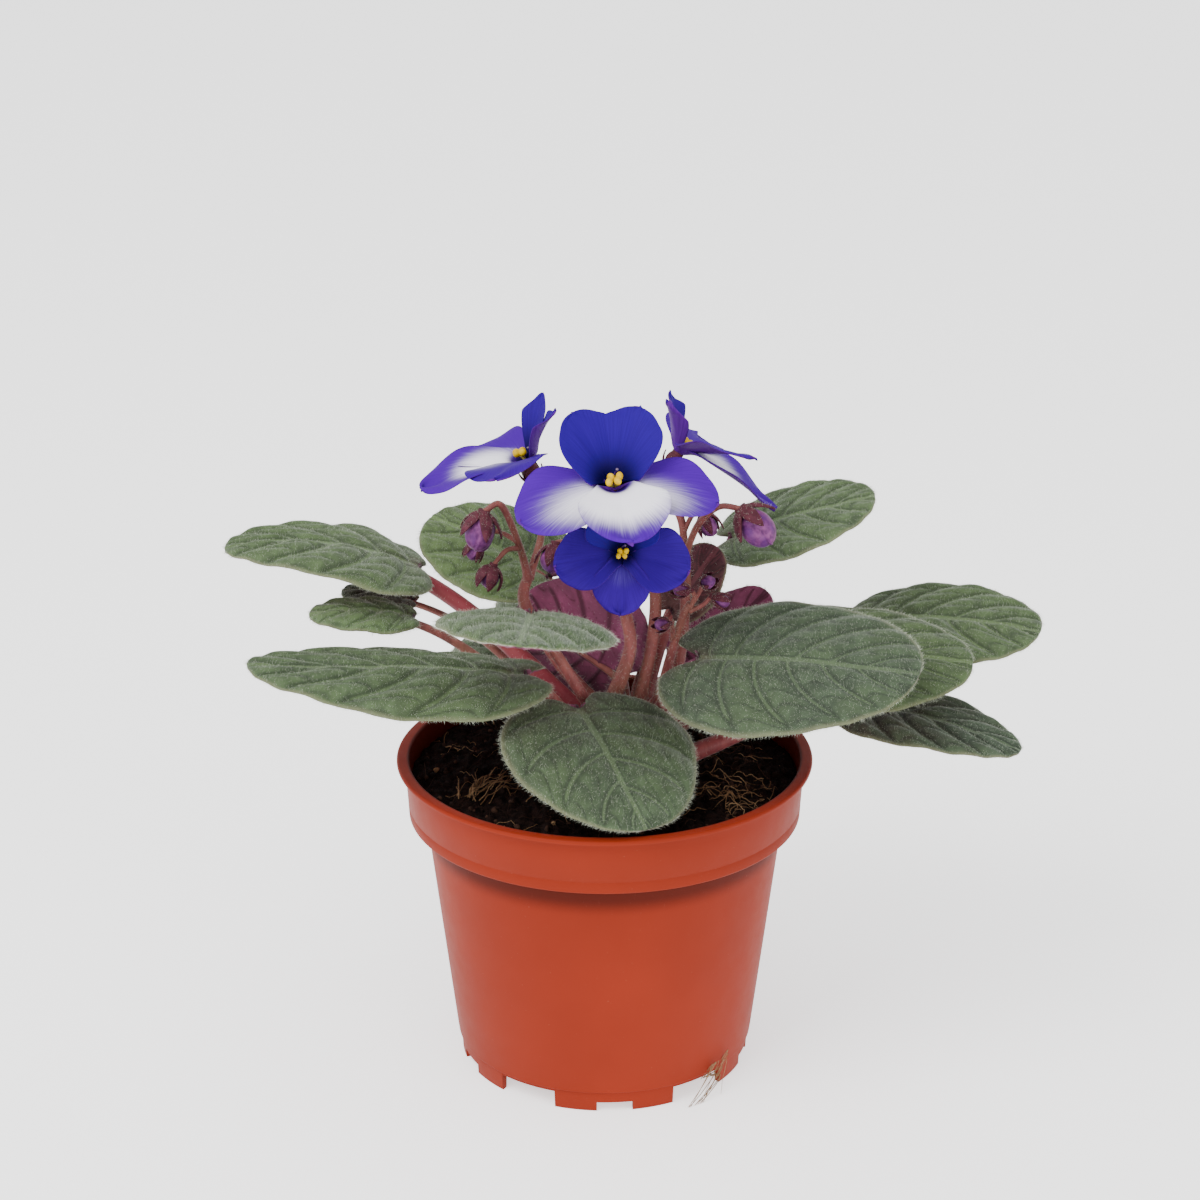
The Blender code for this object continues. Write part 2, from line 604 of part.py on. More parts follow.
def main():
    clear_scene()
    leaf_green = material("leaf_green", GREEN, 0.7)
    stalk_red = material("stalk_red", STALK_RED, 0.6)
    bud_purple = material("bud_purple", BUD_PURPLE, 0.5)
    looks = {
        "petal": material("petal_violet", VIOLET, 0.5),
        "anther": material("anther_yellow", YELLOW, 0.5),
        "pistil": material("pistil_purple", BUD_PURPLE, 0.5),
    }
    make_pot(material("terracotta_plastic", TERRACOTTA, 0.42))
    make_soil(material("peat", PEAT, 0.95))
    make_crown(material("crown_red", CROWN_RED, 0.6))
    for name, leaf in LEAVES.items():
        make_leaf(name, leaf, leaf_green)
    for name, branches in STALKS.items():
        make_stalk(name, branches, stalk_red)
    for name, flower in FLOWERS.items():
        make_flower(name.removeprefix("flower_"), flower, looks)
    for name, bud in BUDS.items():
        make_bud(name, bud, bud_purple)


main()
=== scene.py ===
"""The looks of a potted African violet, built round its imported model.

Lengths in the tables and in the shape functions are millimetres, and every mesh is written in metres. The
origin is the middle of the circle that the pot stands on, +Z is up and -Y is the plant's front. A bearing is
an angle about +Z from +X, so a bearing of -90 degrees is the front.
"""

import json
import math
from collections import namedtuple

import bpy
import numpy as np
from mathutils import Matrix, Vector

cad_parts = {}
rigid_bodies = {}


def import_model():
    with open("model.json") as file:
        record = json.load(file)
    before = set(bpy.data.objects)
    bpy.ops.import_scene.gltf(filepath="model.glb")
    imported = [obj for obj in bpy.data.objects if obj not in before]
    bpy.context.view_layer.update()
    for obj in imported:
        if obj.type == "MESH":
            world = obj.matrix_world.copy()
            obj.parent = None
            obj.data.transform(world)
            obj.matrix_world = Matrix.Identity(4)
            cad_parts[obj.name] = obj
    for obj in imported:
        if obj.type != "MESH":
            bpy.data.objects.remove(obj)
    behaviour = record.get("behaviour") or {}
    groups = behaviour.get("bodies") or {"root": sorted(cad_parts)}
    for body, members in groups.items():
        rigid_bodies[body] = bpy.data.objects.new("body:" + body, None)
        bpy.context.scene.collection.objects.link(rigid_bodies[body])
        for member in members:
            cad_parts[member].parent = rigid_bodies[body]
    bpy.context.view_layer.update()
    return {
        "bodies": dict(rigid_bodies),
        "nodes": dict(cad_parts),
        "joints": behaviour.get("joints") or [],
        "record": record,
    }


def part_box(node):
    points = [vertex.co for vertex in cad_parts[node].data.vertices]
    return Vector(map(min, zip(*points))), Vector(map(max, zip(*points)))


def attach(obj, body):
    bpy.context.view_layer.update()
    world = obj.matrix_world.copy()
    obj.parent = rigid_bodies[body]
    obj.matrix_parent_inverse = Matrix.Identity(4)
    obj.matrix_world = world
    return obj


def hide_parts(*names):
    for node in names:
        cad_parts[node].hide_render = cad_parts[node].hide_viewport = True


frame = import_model()

bl_info = {
    "name": "Potted African Violet",
    "version": (1, 0, 0),
    "blender": (4, 5, 0),
    "location": "3D View > Sidebar > Violet",
    "description": "Leaves, flowers, stalks, potting mix and pot of an African violet",
    "category": "Object",
}

MM = 0.001
SOIL_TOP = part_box("potting_mix")[1].z / MM
POT_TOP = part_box("pot")[1].z / MM
RIM_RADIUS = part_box("pot")[1].x / MM
CROWN_LOW, CROWN_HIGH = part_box("crown")
CROWN_PLACE = ((CROWN_LOW.x + CROWN_HIGH.x) / 2 / MM, (CROWN_LOW.y + CROWN_HIGH.y) / 2 / MM)
CROWN_RADIUS = 7.4
CROWN_TOP_RADIUS = 2.6
CROWN_HEIGHT = 14.0
# The crown's radius at its foot and at its top, and its height, in mm.
HAIR_WIDTH = 0.034

BLADE_ROUNDNESS = 0.86
# A blade's outline follows a sine to this power, which makes its ends a little blunter than an oval's.
MIDRIB_POWER = 1.2
# A row that meets the margin a share u of the way round starts at u to this power along the midrib.
NOTCH_SPREAD = 0.11
# How far the notch of a blade's base spreads along its outline, in radians.
TEETH, TOOTH_HEIGHT = 17, 0.12
WAVES, WAVE_HEIGHT = 3.1, 0.18
# Small teeth and slow waves along each side of a blade's margin, and their heights in mm.
MARGIN_LIFT = 0.18
# How far the margin waves up and down with the side veins, in mm.
VEIN_SWEEP = 0.26
# How far a side vein runs towards the tip on its way out, as a share of the blade's length.
VEIN_STARTS = (0.62, 0.38)
# Where the first veins of the two halves start, in spaces between two veins.
BRIDGE_SPACING = 4.2
# Between the short veins that join the side veins, in mm.
SWELL, SMALL_SWELL, MIDRIB_DIP = 1.25, 0.42, 0.55
# On a blade's upper side, in mm: its swell between side veins and between short veins, and its midrib's depth.
RIDGE, SIDE_RIDGE, SMALL_RIDGE = 0.8, 0.45, 0.15
# On a blade's lower side, in mm: how far its midrib, side veins and short veins stand out.
FINE_GRAIN = 1.1
# The size of the finest unevenness on a blade, in mm.
MARGIN_HAIRS = 9
# Hairs for each millimetre of a blade's length and width.

Leaf = namedtuple("Leaf", "bearing height rise joint tip width lobe taper roll droop cup swell")
# bearing, height: where the petiole leaves the crown, in degrees about it and in mm up it.
# rise: how steeply it leaves, in degrees. joint, tip: where the blade starts and ends.
# width, lobe: its breadth, and how far its base reaches back past the joint. taper: how much narrower it
# is towards the tip than towards the base. roll: its lean to one side.
# droop, cup: how far it bends along and across, in degrees. swell: the petiole's thickness at the crown.
LEAVES = {
    "leaf_left_high": Leaf(184, 8, 44, (-45, 15, 120), (-90, 6, 128), 36, 4, 0.34, -2, 38, -14, 5.4),
    "leaf_left_small": Leaf(180, 3, 30, (-46, 4, 111.5), (-70, 0, 113.5), 18, 2, 0.14, -5, 26, -15, 3.0),
    "leaf_left_tiny": Leaf(155, 3, 30, (-47, 20, 110), (-64, 22, 111), 14, 2, 0.14, -5, 16, -20, 2.4),
    "leaf_left_low": Leaf(216, 2, 44, (-19, -13, 104), (-82, -26, 111), 36, 7, 0.2, -3, 3, -32, 4.4),
    "leaf_front_left": Leaf(236, 8, 50, (-17, -16, 120), (-19, -51, 126), 41, 5, 0.14, -5, 8, -12, 3.2),
    "leaf_front": Leaf(264, 2, 50, (-6, -15, 96), (9, -47, 79.5), 46, 6, 0.2, -2, 18, -12, 3.2),
    "leaf_right_front": Leaf(-36, 4, 60, (22, -13, 108), (71, -36, 113), 45, 9, 0.14, 23, 12, -14, 4.2),
    "leaf_right_low": Leaf(-62, 2, 8, (56, -1, 92.5), (97, -20, 87), 29, 2, 0.3, 3, 16, -6, 5.0),
    "leaf_right_mid": Leaf(0, 3.5, 40, (31, 2, 103), (87, -5, 103), 36, 5, 0.14, 25, 17, -16, 4.2),
    "leaf_right_far": Leaf(26, 2, 20, (63, 32, 100), (105, 12, 104), 36, 5, 0.14, 15, 21, -14, 4.0),
    "leaf_right_high": Leaf(54, 6, 60, (31, 23, 125), (65, 20, 136), 35, 5, 0.14, 10, 12, -7, 4.0),
    "leaf_back_left": Leaf(84, 9, 56, (-14, 23, 115), (-43, 39, 124), 36, 4, 0.14, -13, 12, -4, 4.0),
    "leaf_back": Leaf(102, 2, 34, (-6, 36, 96), (-16, 78, 92), 36, 5, 0.14, 0, 20, -16, 4.4),
    "leaf_back_right": Leaf(67, 2, 34, (22, 34, 92), (42, 66, 87), 30, 5, 0.14, 0, 18, -16, 4.2),
    "leaf_back_low": Leaf(132, 1.5, 4, (-13, 27, 87), (-34, 60, 84), 29, 4, 0.14, 0, 16, -14, 3.8),
    "leaf_inner_left": Leaf(132, 12, 70, (4, 5, 96), (-21, 13, 111), 39, 4, 0.14, 80, -4, 16, 3.0),
    "leaf_inner_right": Leaf(24, 9, 40, (21, 20, 91), (40, 28, 109), 20, 3, 0.3, 46, -5, 15, 2.8),
    "leaf_inner_small": Leaf(50, 12, 70, (16, 8, 112), (27, 10, 127), 15, 2, 0.14, 60, -10, 20, 2.0),
}

Coat = namedtuple(
    "Coat", "shade grey red hair quilt veins stem plum turned", defaults=(1.0, 0.5, 0.15, 1.0, 1.0, 6, 0.25, 0.0, False)
)
# shade: how light a blade is. grey: from yellow-green at 0 to grey-green at 1. red: how far the red of the
# petiole spreads over its base. hair: how long its hairs are. quilt: how high it swells between its veins.
# veins: side veins on each side. stem: how crimson its petiole is. plum: how dark red its upper side is.
# turned: whether its underside faces the way that its normal does.
COATS = {
    "leaf_left_high": Coat(1.12, 0.5, 0.10, 1.0, 1.5, 5, 0.9),
    # leaf_left_small is lightened past its own green: painted light on a blade that lies in the shade of the leaves
    # above.
    "leaf_left_small": Coat(1.8, 0.55, 0.05, 1.2, 1.0, 4, 0.1),
    "leaf_left_tiny": Coat(0.6, 0.6, 0.5, 1.3, 0.8, 4, 0.2),
    "leaf_left_low": Coat(1.02, 0.6, 0.05, 1.0, 1.5, 6, 0.2),
    "leaf_front_left": Coat(1.15, 0.5, 0.0, 1.35, 1.1, 5, 0.3),
    "leaf_front": Coat(0.95, 0.75, 0.12, 1.1, 0.9, 5, 0.3),
    "leaf_right_front": Coat(0.85, 0.85, 0.05, 1.0, 1.0, 7, 0.3),
    "leaf_right_low": Coat(0.95, 1.0, 0.85, 0.8, 1.3, 6, 0.5),
    "leaf_right_mid": Coat(0.9, 0.45, 0.15, 1.0, 1.0, 6, 0.3),
    "leaf_right_far": Coat(1.0, 0.5, 0.05, 1.0, 1.4, 6, 0.3),
    "leaf_right_high": Coat(1.15, 0.5, 0.05, 1.0, 1.1, 6, 0.5),
    "leaf_back_left": Coat(1.3, 0.25, 0.05, 1.2, 1.2, 5, 0.3),
    "leaf_inner_right": Coat(0.8, 0.5, 0.3, 0.8, 1.0, 5, 0.6, 0.0, True),
    "leaf_inner_small": Coat(0.5, 0.5, 0.9, 1.2, 0.6, 4, 0.6, 0.85),
}

Flower = namedtuple("Flower", "throat heading elevation spin size")
# throat: the middle of its eye. heading, elevation: the way it faces. spin: its turn about that. size: its scale.
FLOWERS = {
    "flower_middle": Flower((2, -20, 154), -88, 66, 4, 1.0),
    "flower_low": Flower((4, -20, 137), -90, 32, 0, 0.7),
    "flower_left": Flower((-19, 16, 148), 188, 70, 0, 0.92),
    "flower_right": Flower((18.5, 16, 150.5), 6, 58, 0, 0.86),
}
THROAT_DEPTH = 2.5
THROAT_SPREAD = 3.0
# How deep the throat is in mm, and how far out its Gaussian spreads.
LOBE_ROOT = 1.2
LOBE_HINGE = 2.5
# How far from the throat's middle a lobe starts, and how far out the line is that it is raised about.
LOBE_LAYER = 0.9
LOBE_TIP_FALL = 1.3
# How high a lobe of layer 1 lies over one of layer 0, and how far its outer end falls.
CALYX_DEPTH = 2.3
STALK_DEPTH = 4.4
# How far below the throat's bottom the calyx's middle and the stalk's end are, in mm at size 1.

Lobe = namedtuple(
    "Lobe", "bearing length width lift cup ruffle dark layer phase base point widest", defaults=(0.30, 0.0, 0.6)
)
# bearing: its middle in the flower's own plane. length, width: in mm at size 1. lift: how far it is raised
# off that plane, in degrees. cup: how far it bends across. ruffle: its margin's wave. dark: 0 for a lobe with a
# white heart, 1 for one that is deep violet all over. layer: its height over its neighbours. phase: where its
# waves start. base: its width at the throat, as a share of its widest. point: 0 for a round end, 1 for a pointed.
# widest: the share of its length at which it is widest.
LOBES = {
    "flower_middle": (
        Lobe(-17, 24.0, 19.0, -1, 8, 0.5, 0.0, 0.0, 0.3),
        Lobe(203, 24.0, 21.5, -3, 8, 0.6, 0.0, 0.2, 1.7),
        Lobe(276, 20.4, 21.0, 2, 18, 1.1, 0.0, 0.5, 2.6, 0.4),
        Lobe(60, 18.8, 16.2, 42, 10, 0.3, 0.85, 0.9, 0.9, 0.7, 0.0, 0.52),
        Lobe(125.5, 18.8, 16.2, 42, 10, 0.3, 0.85, 0.7, 4.0, 0.7, 0.0, 0.52),
    ),
    "flower_low": (
        Lobe(-15, 22.5, 22.0, 0, 12, 0.7, 0.72, 0.0, 0.3, 0.4),
        Lobe(193, 22.5, 21.0, 0, 12, 0.7, 0.72, 0.2, 1.7, 0.4),
        Lobe(268, 20.4, 19.0, -10, 16, 1.3, 0.66, 0.1, 2.6, 0.35),
        Lobe(57, 17.5, 17.0, 42, 10, 0.4, 0.9, 0.9, 0.9),
        Lobe(121, 17.5, 17.5, 42, 10, 0.4, 0.9, 0.7, 4.0),
    ),
    "flower_left": (
        Lobe(-26, 21.0, 23.0, 15, 4, 0.7, 0.5, 0.3, 0.3, 0.4),
        Lobe(217, 23.0, 22.0, 5, 8, 0.9, 0.1, 0.0, 1.7, 0.4),
        Lobe(270, 28.0, 25.0, 6, 12, 1.1, 0.0, 0.45, 2.6, 0.45),
        Lobe(58, 18.5, 9.5, 46, 24, 0.4, 0.8, 0.9, 0.9, 0.4, 0.8),
        Lobe(122, 18.0, 10.0, 52, 24, 0.4, 0.8, 0.7, 4.0, 0.4, 0.8),
    ),
    "flower_right": (
        Lobe(-20, 22.0, 19.0, 6, 8, 0.9, 0.3, 0.0, 0.3, 0.4),
        Lobe(222, 23.5, 24.0, 31, 6, 0.7, 0.5, 0.3, 1.7, 0.5),
        Lobe(268, 32.0, 21.0, -3, 14, 1.1, 0.15, 0.45, 2.6, 0.45),
        Lobe(58, 16.4, 10.0, 50, 24, 0.4, 0.8, 0.9, 0.9, 0.4, 0.7),
        Lobe(122, 19.0, 10.5, 41, 24, 0.4, 0.8, 0.7, 4.0, 0.4, 0.7),
    ),
}

Bud = namedtuple("Bud", "base heading elevation length width open")
# open: the share of the bud that shows past its sepals.
BUDS = {
    "bud_left": Bud((-28, -6, 141.5), 200, -78, 9.5, 7.2, 0.6),
    "bud_left_low": Bud((-26, -5, 128), 200, -70, 5.4, 5.0, 0.15),
    "bud_left_small": Bud((-29.5, 1, 132), 210, -60, 4.8, 3.8, 0.2),
    "bud_centre_left": Bud((-11.5, -1, 132), -120, -72, 7.0, 6.0, 0.45),
    "bud_right": Bud((31.5, -8, 143), -8, -48, 11.0, 8.0, 0.7),
    "bud_right_back": Bud((23, 6.5, 137), -30, -60, 6.0, 4.4, 0.3),
    "bud_low_a": Bud((20, -8, 123), 200, 10, 4.2, 3.2, 0.15),
    "bud_low_b": Bud((23, -8, 124.5), -60, 30, 4.4, 3.2, 0.15),
    "bud_low_c": Bud((25, -7, 121), -10, -20, 4.4, 3.2, 0.15),
    "bud_low_d": Bud((15, -9, 115), 220, 10, 4.0, 3.0, 0.15),
}

Branch = namedtuple("Branch", "thickness points end")
STALKS = {
    "stalk_left": (
        Branch((3.4, 2.6), ((-3, 4, 90), (-12, 5, 101), (-19, 4, 115), (-18, 3, 123)), None),
        Branch((2.0, 1.4), ((-18, 3, 121.5), (-20, 0, 131), (-24, -4, 142.5)), "bud_left"),
        Branch((1.3, 1.1), ((-20, 0, 130.5), (-23, -3, 131)), "bud_left_low"),
        Branch((1.2, 1.0), ((-20.5, -0.5, 132.5), (-25.5, 0.5, 134.5)), "bud_left_small"),
        Branch((2.0, 1.5), ((-18, 3, 121.5), (-15, 8, 131), (-16, 13, 138)), "flower_left"),
    ),
    "stalk_low": (
        Branch((3.6, 2.0), ((2, -2, 93), (6, -3, 106), (5, -3, 115), (3.5, -6, 124)), "flower_low"),
        Branch((1.4, 1.2), ((4, -4.5, 119.5), (-3, -2, 127), (-9, -1, 132)), "bud_centre_left"),
    ),
    "stalk_middle": (
        Branch((3.4, 2.0), ((8, -1, 91), (11, -0.5, 105), (12, 2, 118), (9, -4, 132)), "flower_middle"),
    ),
    "stalk_right": (
        Branch((3.0, 2.4), ((11, 3, 88), (17, 3, 98), (19, 3, 112), (19, 4, 129)), None),
        Branch((2.0, 1.5), ((19, 4, 127.5), (18, 8, 135), (14.5, 13, 140)), "flower_right"),
        Branch((1.8, 1.3), ((19, 4, 127.5), (22, 0, 136.5), (26.5, -5, 142.5)), "bud_right"),
        Branch((1.2, 1.0), ((18.5, 6.2, 131.5), (20.5, 6.5, 136)), "bud_right_back"),
    ),
    "stalk_young": (
        Branch((2.4, 1.8), ((12, 0, 88), (15.5, -3, 104), (18, -5, 114), (20, -6, 119)), None),
        Branch((1.2, 1.0), ((20, -6, 118), (21, -7, 121)), "bud_low_a"),
        Branch((1.2, 1.0), ((20, -6, 118), (22, -7, 122)), "bud_low_b"),
        Branch((1.2, 1.0), ((20, -6, 117), (23, -7, 119)), "bud_low_c"),
        Branch((1.2, 1.0), ((16, -4, 109), (16, -7, 113)), "bud_low_d"),
    ),
}


# ---------------------------------------------------------------- shapes


def unit(vectors):
    return vectors / np.maximum(np.linalg.norm(vectors, axis=-1, keepdims=True), 1e-9)


def smooth(low, high, value):
    """0 below low, 1 above high, and the cubic 3t2 - 2t3 between them."""
    t = np.clip((value - low) / (high - low), 0.0, 1.0)
    return t * t * (3 - 2 * t)


def around(bearing, reach, height):
    """The point on this bearing, this far out from the pot's axis and this high."""
    angle = math.radians(bearing)
    return np.array([reach * math.cos(angle), reach * math.sin(angle), height])


def pointing(bearing, slope):
    """The unit vector on this bearing and this many degrees above the level."""
    level = math.cos(math.radians(slope))
    return around(bearing, level, math.sin(math.radians(slope)))


def axes(forward, roll=0.0):
    """Columns: forward, the side that is level at no roll, and the upper normal. Roll turns the last two."""
    ahead = unit(np.array(forward, float))
    side = unit(np.cross((0.0, 0.0, 1.0), ahead))
    up = np.cross(ahead, side)
    angle = math.radians(roll)
    leaned = side * math.cos(angle) + up * math.sin(angle)
    return np.stack([ahead, leaned, np.cross(ahead, leaned)], axis=1)


def facing(heading, elevation, spin=0.0):
    """Columns: a flower's right, its top and the way it faces."""
    normal = pointing(heading, elevation)
    right = around(heading + 90, 1.0, 0.0)
    top = np.cross(normal, right)
    angle = math.radians(spin)
    turned_right = right * math.cos(angle) + top * math.sin(angle)
    return np.stack([turned_right, np.cross(normal, turned_right), normal], axis=1)


def bezier(ends, t):
    """Points of the cubic curve with these four control points, at the shares t of its length."""
    p = [np.array(e, float) for e in ends]
    t = np.asarray(t, float)[:, None]
    return (1 - t) ** 3 * p[0] + 3 * (1 - t) ** 2 * t * p[1] + 3 * (1 - t) * t**2 * p[2] + t**3 * p[3]


def through(points, steps):
    """A smooth line through these points, with this many steps between each two."""
    p = np.array(points, float)
    p = np.vstack([2 * p[0] - p[1], p, 2 * p[-1] - p[-2]])
    line = [p[1]]
    for a, b, c, d in zip(p[:-3], p[1:-2], p[2:-1], p[3:]):
        line += list(bezier([b, b + (c - a) / 6, c - (d - b) / 6, c], np.linspace(0, 1, steps + 1)[1:]))
    return np.array(line)


def value_noise(points, cell, seed):
    """Smooth random values from -1 to 1: random numbers on a lattice of this spacing, blended between its corners."""
    table = np.random.default_rng(seed).uniform(-1, 1, (32, 32, 32))
    place = np.asarray(points, float) / cell
    low = np.floor(place).astype(int)
    part = place - low
    part = part * part * (3 - 2 * part)
    total = 0.0
    for i in (0, 1):
        for j in (0, 1):
            for k in (0, 1):
                corner = table[(low[..., 0] + i) % 32, (low[..., 1] + j) % 32, (low[..., 2] + k) % 32]
                weight = np.where(i, part[..., 0], 1 - part[..., 0]) * np.where(j, part[..., 1], 1 - part[..., 1])
                total = total + corner * weight * np.where(k, part[..., 2], 1 - part[..., 2])
    return total


def carried(path):
    """Two side vectors for each point of a line, carried along it with no twist."""
    ahead = unit(np.gradient(path, axis=0))
    start = np.array([0.0, 0.0, 1.0]) if abs(ahead[0][2]) < 0.9 else np.array([1.0, 0.0, 0.0])
    side = unit(np.cross(ahead[0], start))
    sides = [side]
    for direction in ahead[1:]:
        side = unit(side - direction * np.dot(side, direction))
        sides.append(side)
    sides = np.array(sides)
    return sides, np.cross(ahead, sides)


def tube_rings(path, radii, around_steps=16):
    """Rings of points: a circle of these radii, carried along the path."""
    across, upward = carried(path)
    turn = np.linspace(0, 2 * math.pi, around_steps, endpoint=False)
    radii = np.broadcast_to(np.asarray(radii, float), (len(path),))
    spread = across[:, None] * np.cos(turn)[None, :, None] + upward[:, None] * np.sin(turn)[None, :, None]
    return path[:, None] + spread * radii[:, None, None]


def ring_faces(rings, columns, offset=0):
    """Quads between closed rings, as an array of four indices each."""
    i, j = np.meshgrid(np.arange(rings - 1), np.arange(columns), indexing="ij")
    step = (j + 1) % columns
    return offset + np.stack(
        [i * columns + j, i * columns + step, (i + 1) * columns + step, (i + 1) * columns + j], axis=-1
    ).reshape(-1, 4)


Part = namedtuple("Part", "points quads triangles tones uv slot", defaults=(None, None, 0))
# tones: an RGBA row for each point, which a material reads as the attribute "tone". uv: a pair for each point.


def channels(*values):
    """These values, spread over one grid and stacked on a last axis."""
    return np.stack(np.broadcast_arrays(*values), axis=-1).astype(float)


def closed_part(rings, tones=None, uv=None, slot=0, poles=None):
    """A closed body: its rings, with a point at each end that the end rings run to.

    poles are those two points; without them, each is the mean of its end ring.
    """
    count, columns = rings.shape[:2]
    ends = poles if poles is not None else (rings[0].mean(axis=0), rings[-1].mean(axis=0))
    points = np.vstack([rings.reshape(-1, 3), ends[0], ends[1]])
    j = np.arange(columns)
    first, last = count * columns, count * columns + 1
    near = np.stack([np.full(columns, first), (j + 1) % columns, j], axis=-1)
    top = (count - 1) * columns
    far = np.stack([np.full(columns, last), top + j, top + (j + 1) % columns], axis=-1)

    def with_ends(values):
        if values is None:
            return None
        flat = values.reshape(-1, values.shape[-1])
        return np.vstack([flat, values[0].mean(axis=0), values[-1].mean(axis=0)])

    return Part(points, ring_faces(count, columns), np.vstack([near, far]), with_ends(tones), with_ends(uv), slot)


def outward(part):
    """The same body with its faces turned round if they point inwards, by the sign of its volume."""
    halves = np.vstack([part.triangles, part.quads[:, [0, 1, 2]], part.quads[:, [0, 2, 3]]])
    corners = part.points[halves]
    volume = np.einsum("ij,ij->", corners[:, 0], np.cross(corners[:, 1], corners[:, 2]))
    if volume >= 0:
        return part
    return part._replace(quads=part.quads[:, ::-1], triangles=part.triangles[:, ::-1])


def plain_tube(line, radii, steps, tone):
    """A closed tube of one tone along a line."""
    tones = np.broadcast_to(np.array(tone, float), (len(line), steps, 4))
    return outward(closed_part(tube_rings(line, radii, steps), tones))


def spikes(roots, directions, lengths, width, slot=0):
    """Hairs: each a thin three-sided spike from a small triangle, sunk a little into its root, to its tip."""
    count = len(roots)
    ahead = unit(directions)
    other = np.where(np.abs(ahead[:, 2:3]) < 0.9, [[0.0, 0.0, 1.0]], [[1.0, 0.0, 0.0]])
    across = unit(np.cross(ahead, other))
    upward = np.cross(ahead, across)
    turn = np.array([0.0, 2.0, 4.0]) * math.pi / 3
    ring = across[:, None] * np.cos(turn)[None, :, None] + upward[:, None] * np.sin(turn)[None, :, None]
    lengths = np.asarray(lengths)[:, None, None]
    base = roots[:, None] - 0.1 * lengths * ahead[:, None] + ring * width / 2
    tip = roots[:, None] + lengths * ahead[:, None]
    points = np.concatenate([base, tip], axis=1).reshape(-1, 3)
    one = np.array([[2, 1, 0], [0, 1, 3], [1, 2, 3], [2, 0, 3]])
    triangles = (np.arange(count)[:, None, None] * 4 + one[None]).reshape(-1, 3)
    return Part(points, np.zeros((0, 4), int), triangles, None, None, slot)


def make_object(name, parts, looks, sharp=None):
    """One object from several bodies: their points, faces, attribute, UV map and materials, written as arrays."""
    offsets = np.cumsum([0] + [len(part.points) for part in parts[:-1]])
    points = np.vstack([part.points for part in parts]) * MM
    quads = np.vstack([part.quads + at for part, at in zip(parts, offsets)])
    triangles = np.vstack([part.triangles + at for part, at in zip(parts, offsets)])
    slots = np.concatenate(
        [np.full(len(part.quads), part.slot) for part in parts]
        + [np.full(len(part.triangles), part.slot) for part in parts]
    )
    corners = np.concatenate([quads.ravel(), triangles.ravel()])
    sizes = np.concatenate([np.full(len(quads), 4), np.full(len(triangles), 3)])
    mesh = bpy.data.meshes.new(name)
    mesh.vertices.add(len(points))
    mesh.vertices.foreach_set("co", points.ravel())
    mesh.loops.add(len(corners))
    mesh.loops.foreach_set("vertex_index", corners.astype(np.int32))
    mesh.polygons.add(len(sizes))
    mesh.polygons.foreach_set("loop_start", np.concatenate([[0], np.cumsum(sizes)[:-1]]).astype(np.int32))
    mesh.polygons.foreach_set("material_index", slots.astype(np.int32))
    mesh.update(calc_edges=True)
    mesh.shade_smooth()
    if any(part.tones is not None for part in parts):
        tones = np.vstack(
            [part.tones if part.tones is not None else np.zeros((len(part.points), 4)) for part in parts]
        )
        layer = mesh.color_attributes.new("tone", "FLOAT_COLOR", "POINT")
        layer.data.foreach_set("color", tones.astype(np.float32).ravel())
    if any(part.uv is not None for part in parts):
        pairs = np.vstack([part.uv if part.uv is not None else np.zeros((len(part.points), 2)) for part in parts])
        mesh.uv_layers.new(name="along").data.foreach_set("uv", pairs[corners].astype(np.float32).ravel())
    if sharp is not None:
        mesh.set_sharp_from_angle(angle=math.radians(sharp))
    for look in looks:
        mesh.materials.append(look)
    mesh.validate()
    thing = bpy.data.objects.new(name, mesh)
    bpy.context.scene.collection.objects.link(thing)
    return thing


def settle(thing, slot, *nodes):
    """The piece rides on the plant's one body and stands for these nodes; slot is not used."""
    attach(thing, "root")
    if nodes:
        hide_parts(*nodes)
    return thing


# ---------------------------------------------------------------- leaves


def leaf_frame(leaf):
    """The blade's length and its axes at the joint, which look up from the tip's line by half the droop."""
    chord = np.subtract(leaf.tip, leaf.joint).astype(float)
    half = math.radians(leaf.droop) / 2
    tilt = np.array([[math.cos(half), 0, -math.sin(half)], [0, 1, 0], [math.sin(half), 0, math.cos(half)]])
    return np.linalg.norm(chord) * half / math.sin(half), axes(chord, leaf.roll) @ tilt


def vein_phase(u, v, coat):
    """Counts the side veins from the base: whole numbers are veins, which sweep forward on their way out."""
    swept = u - VEIN_SWEEP * np.abs(v) ** 1.2 * np.sqrt(np.clip(4 * u * (1 - u), 0, 1))
    return swept * coat.veins + np.where(v < 0, *VEIN_STARTS)


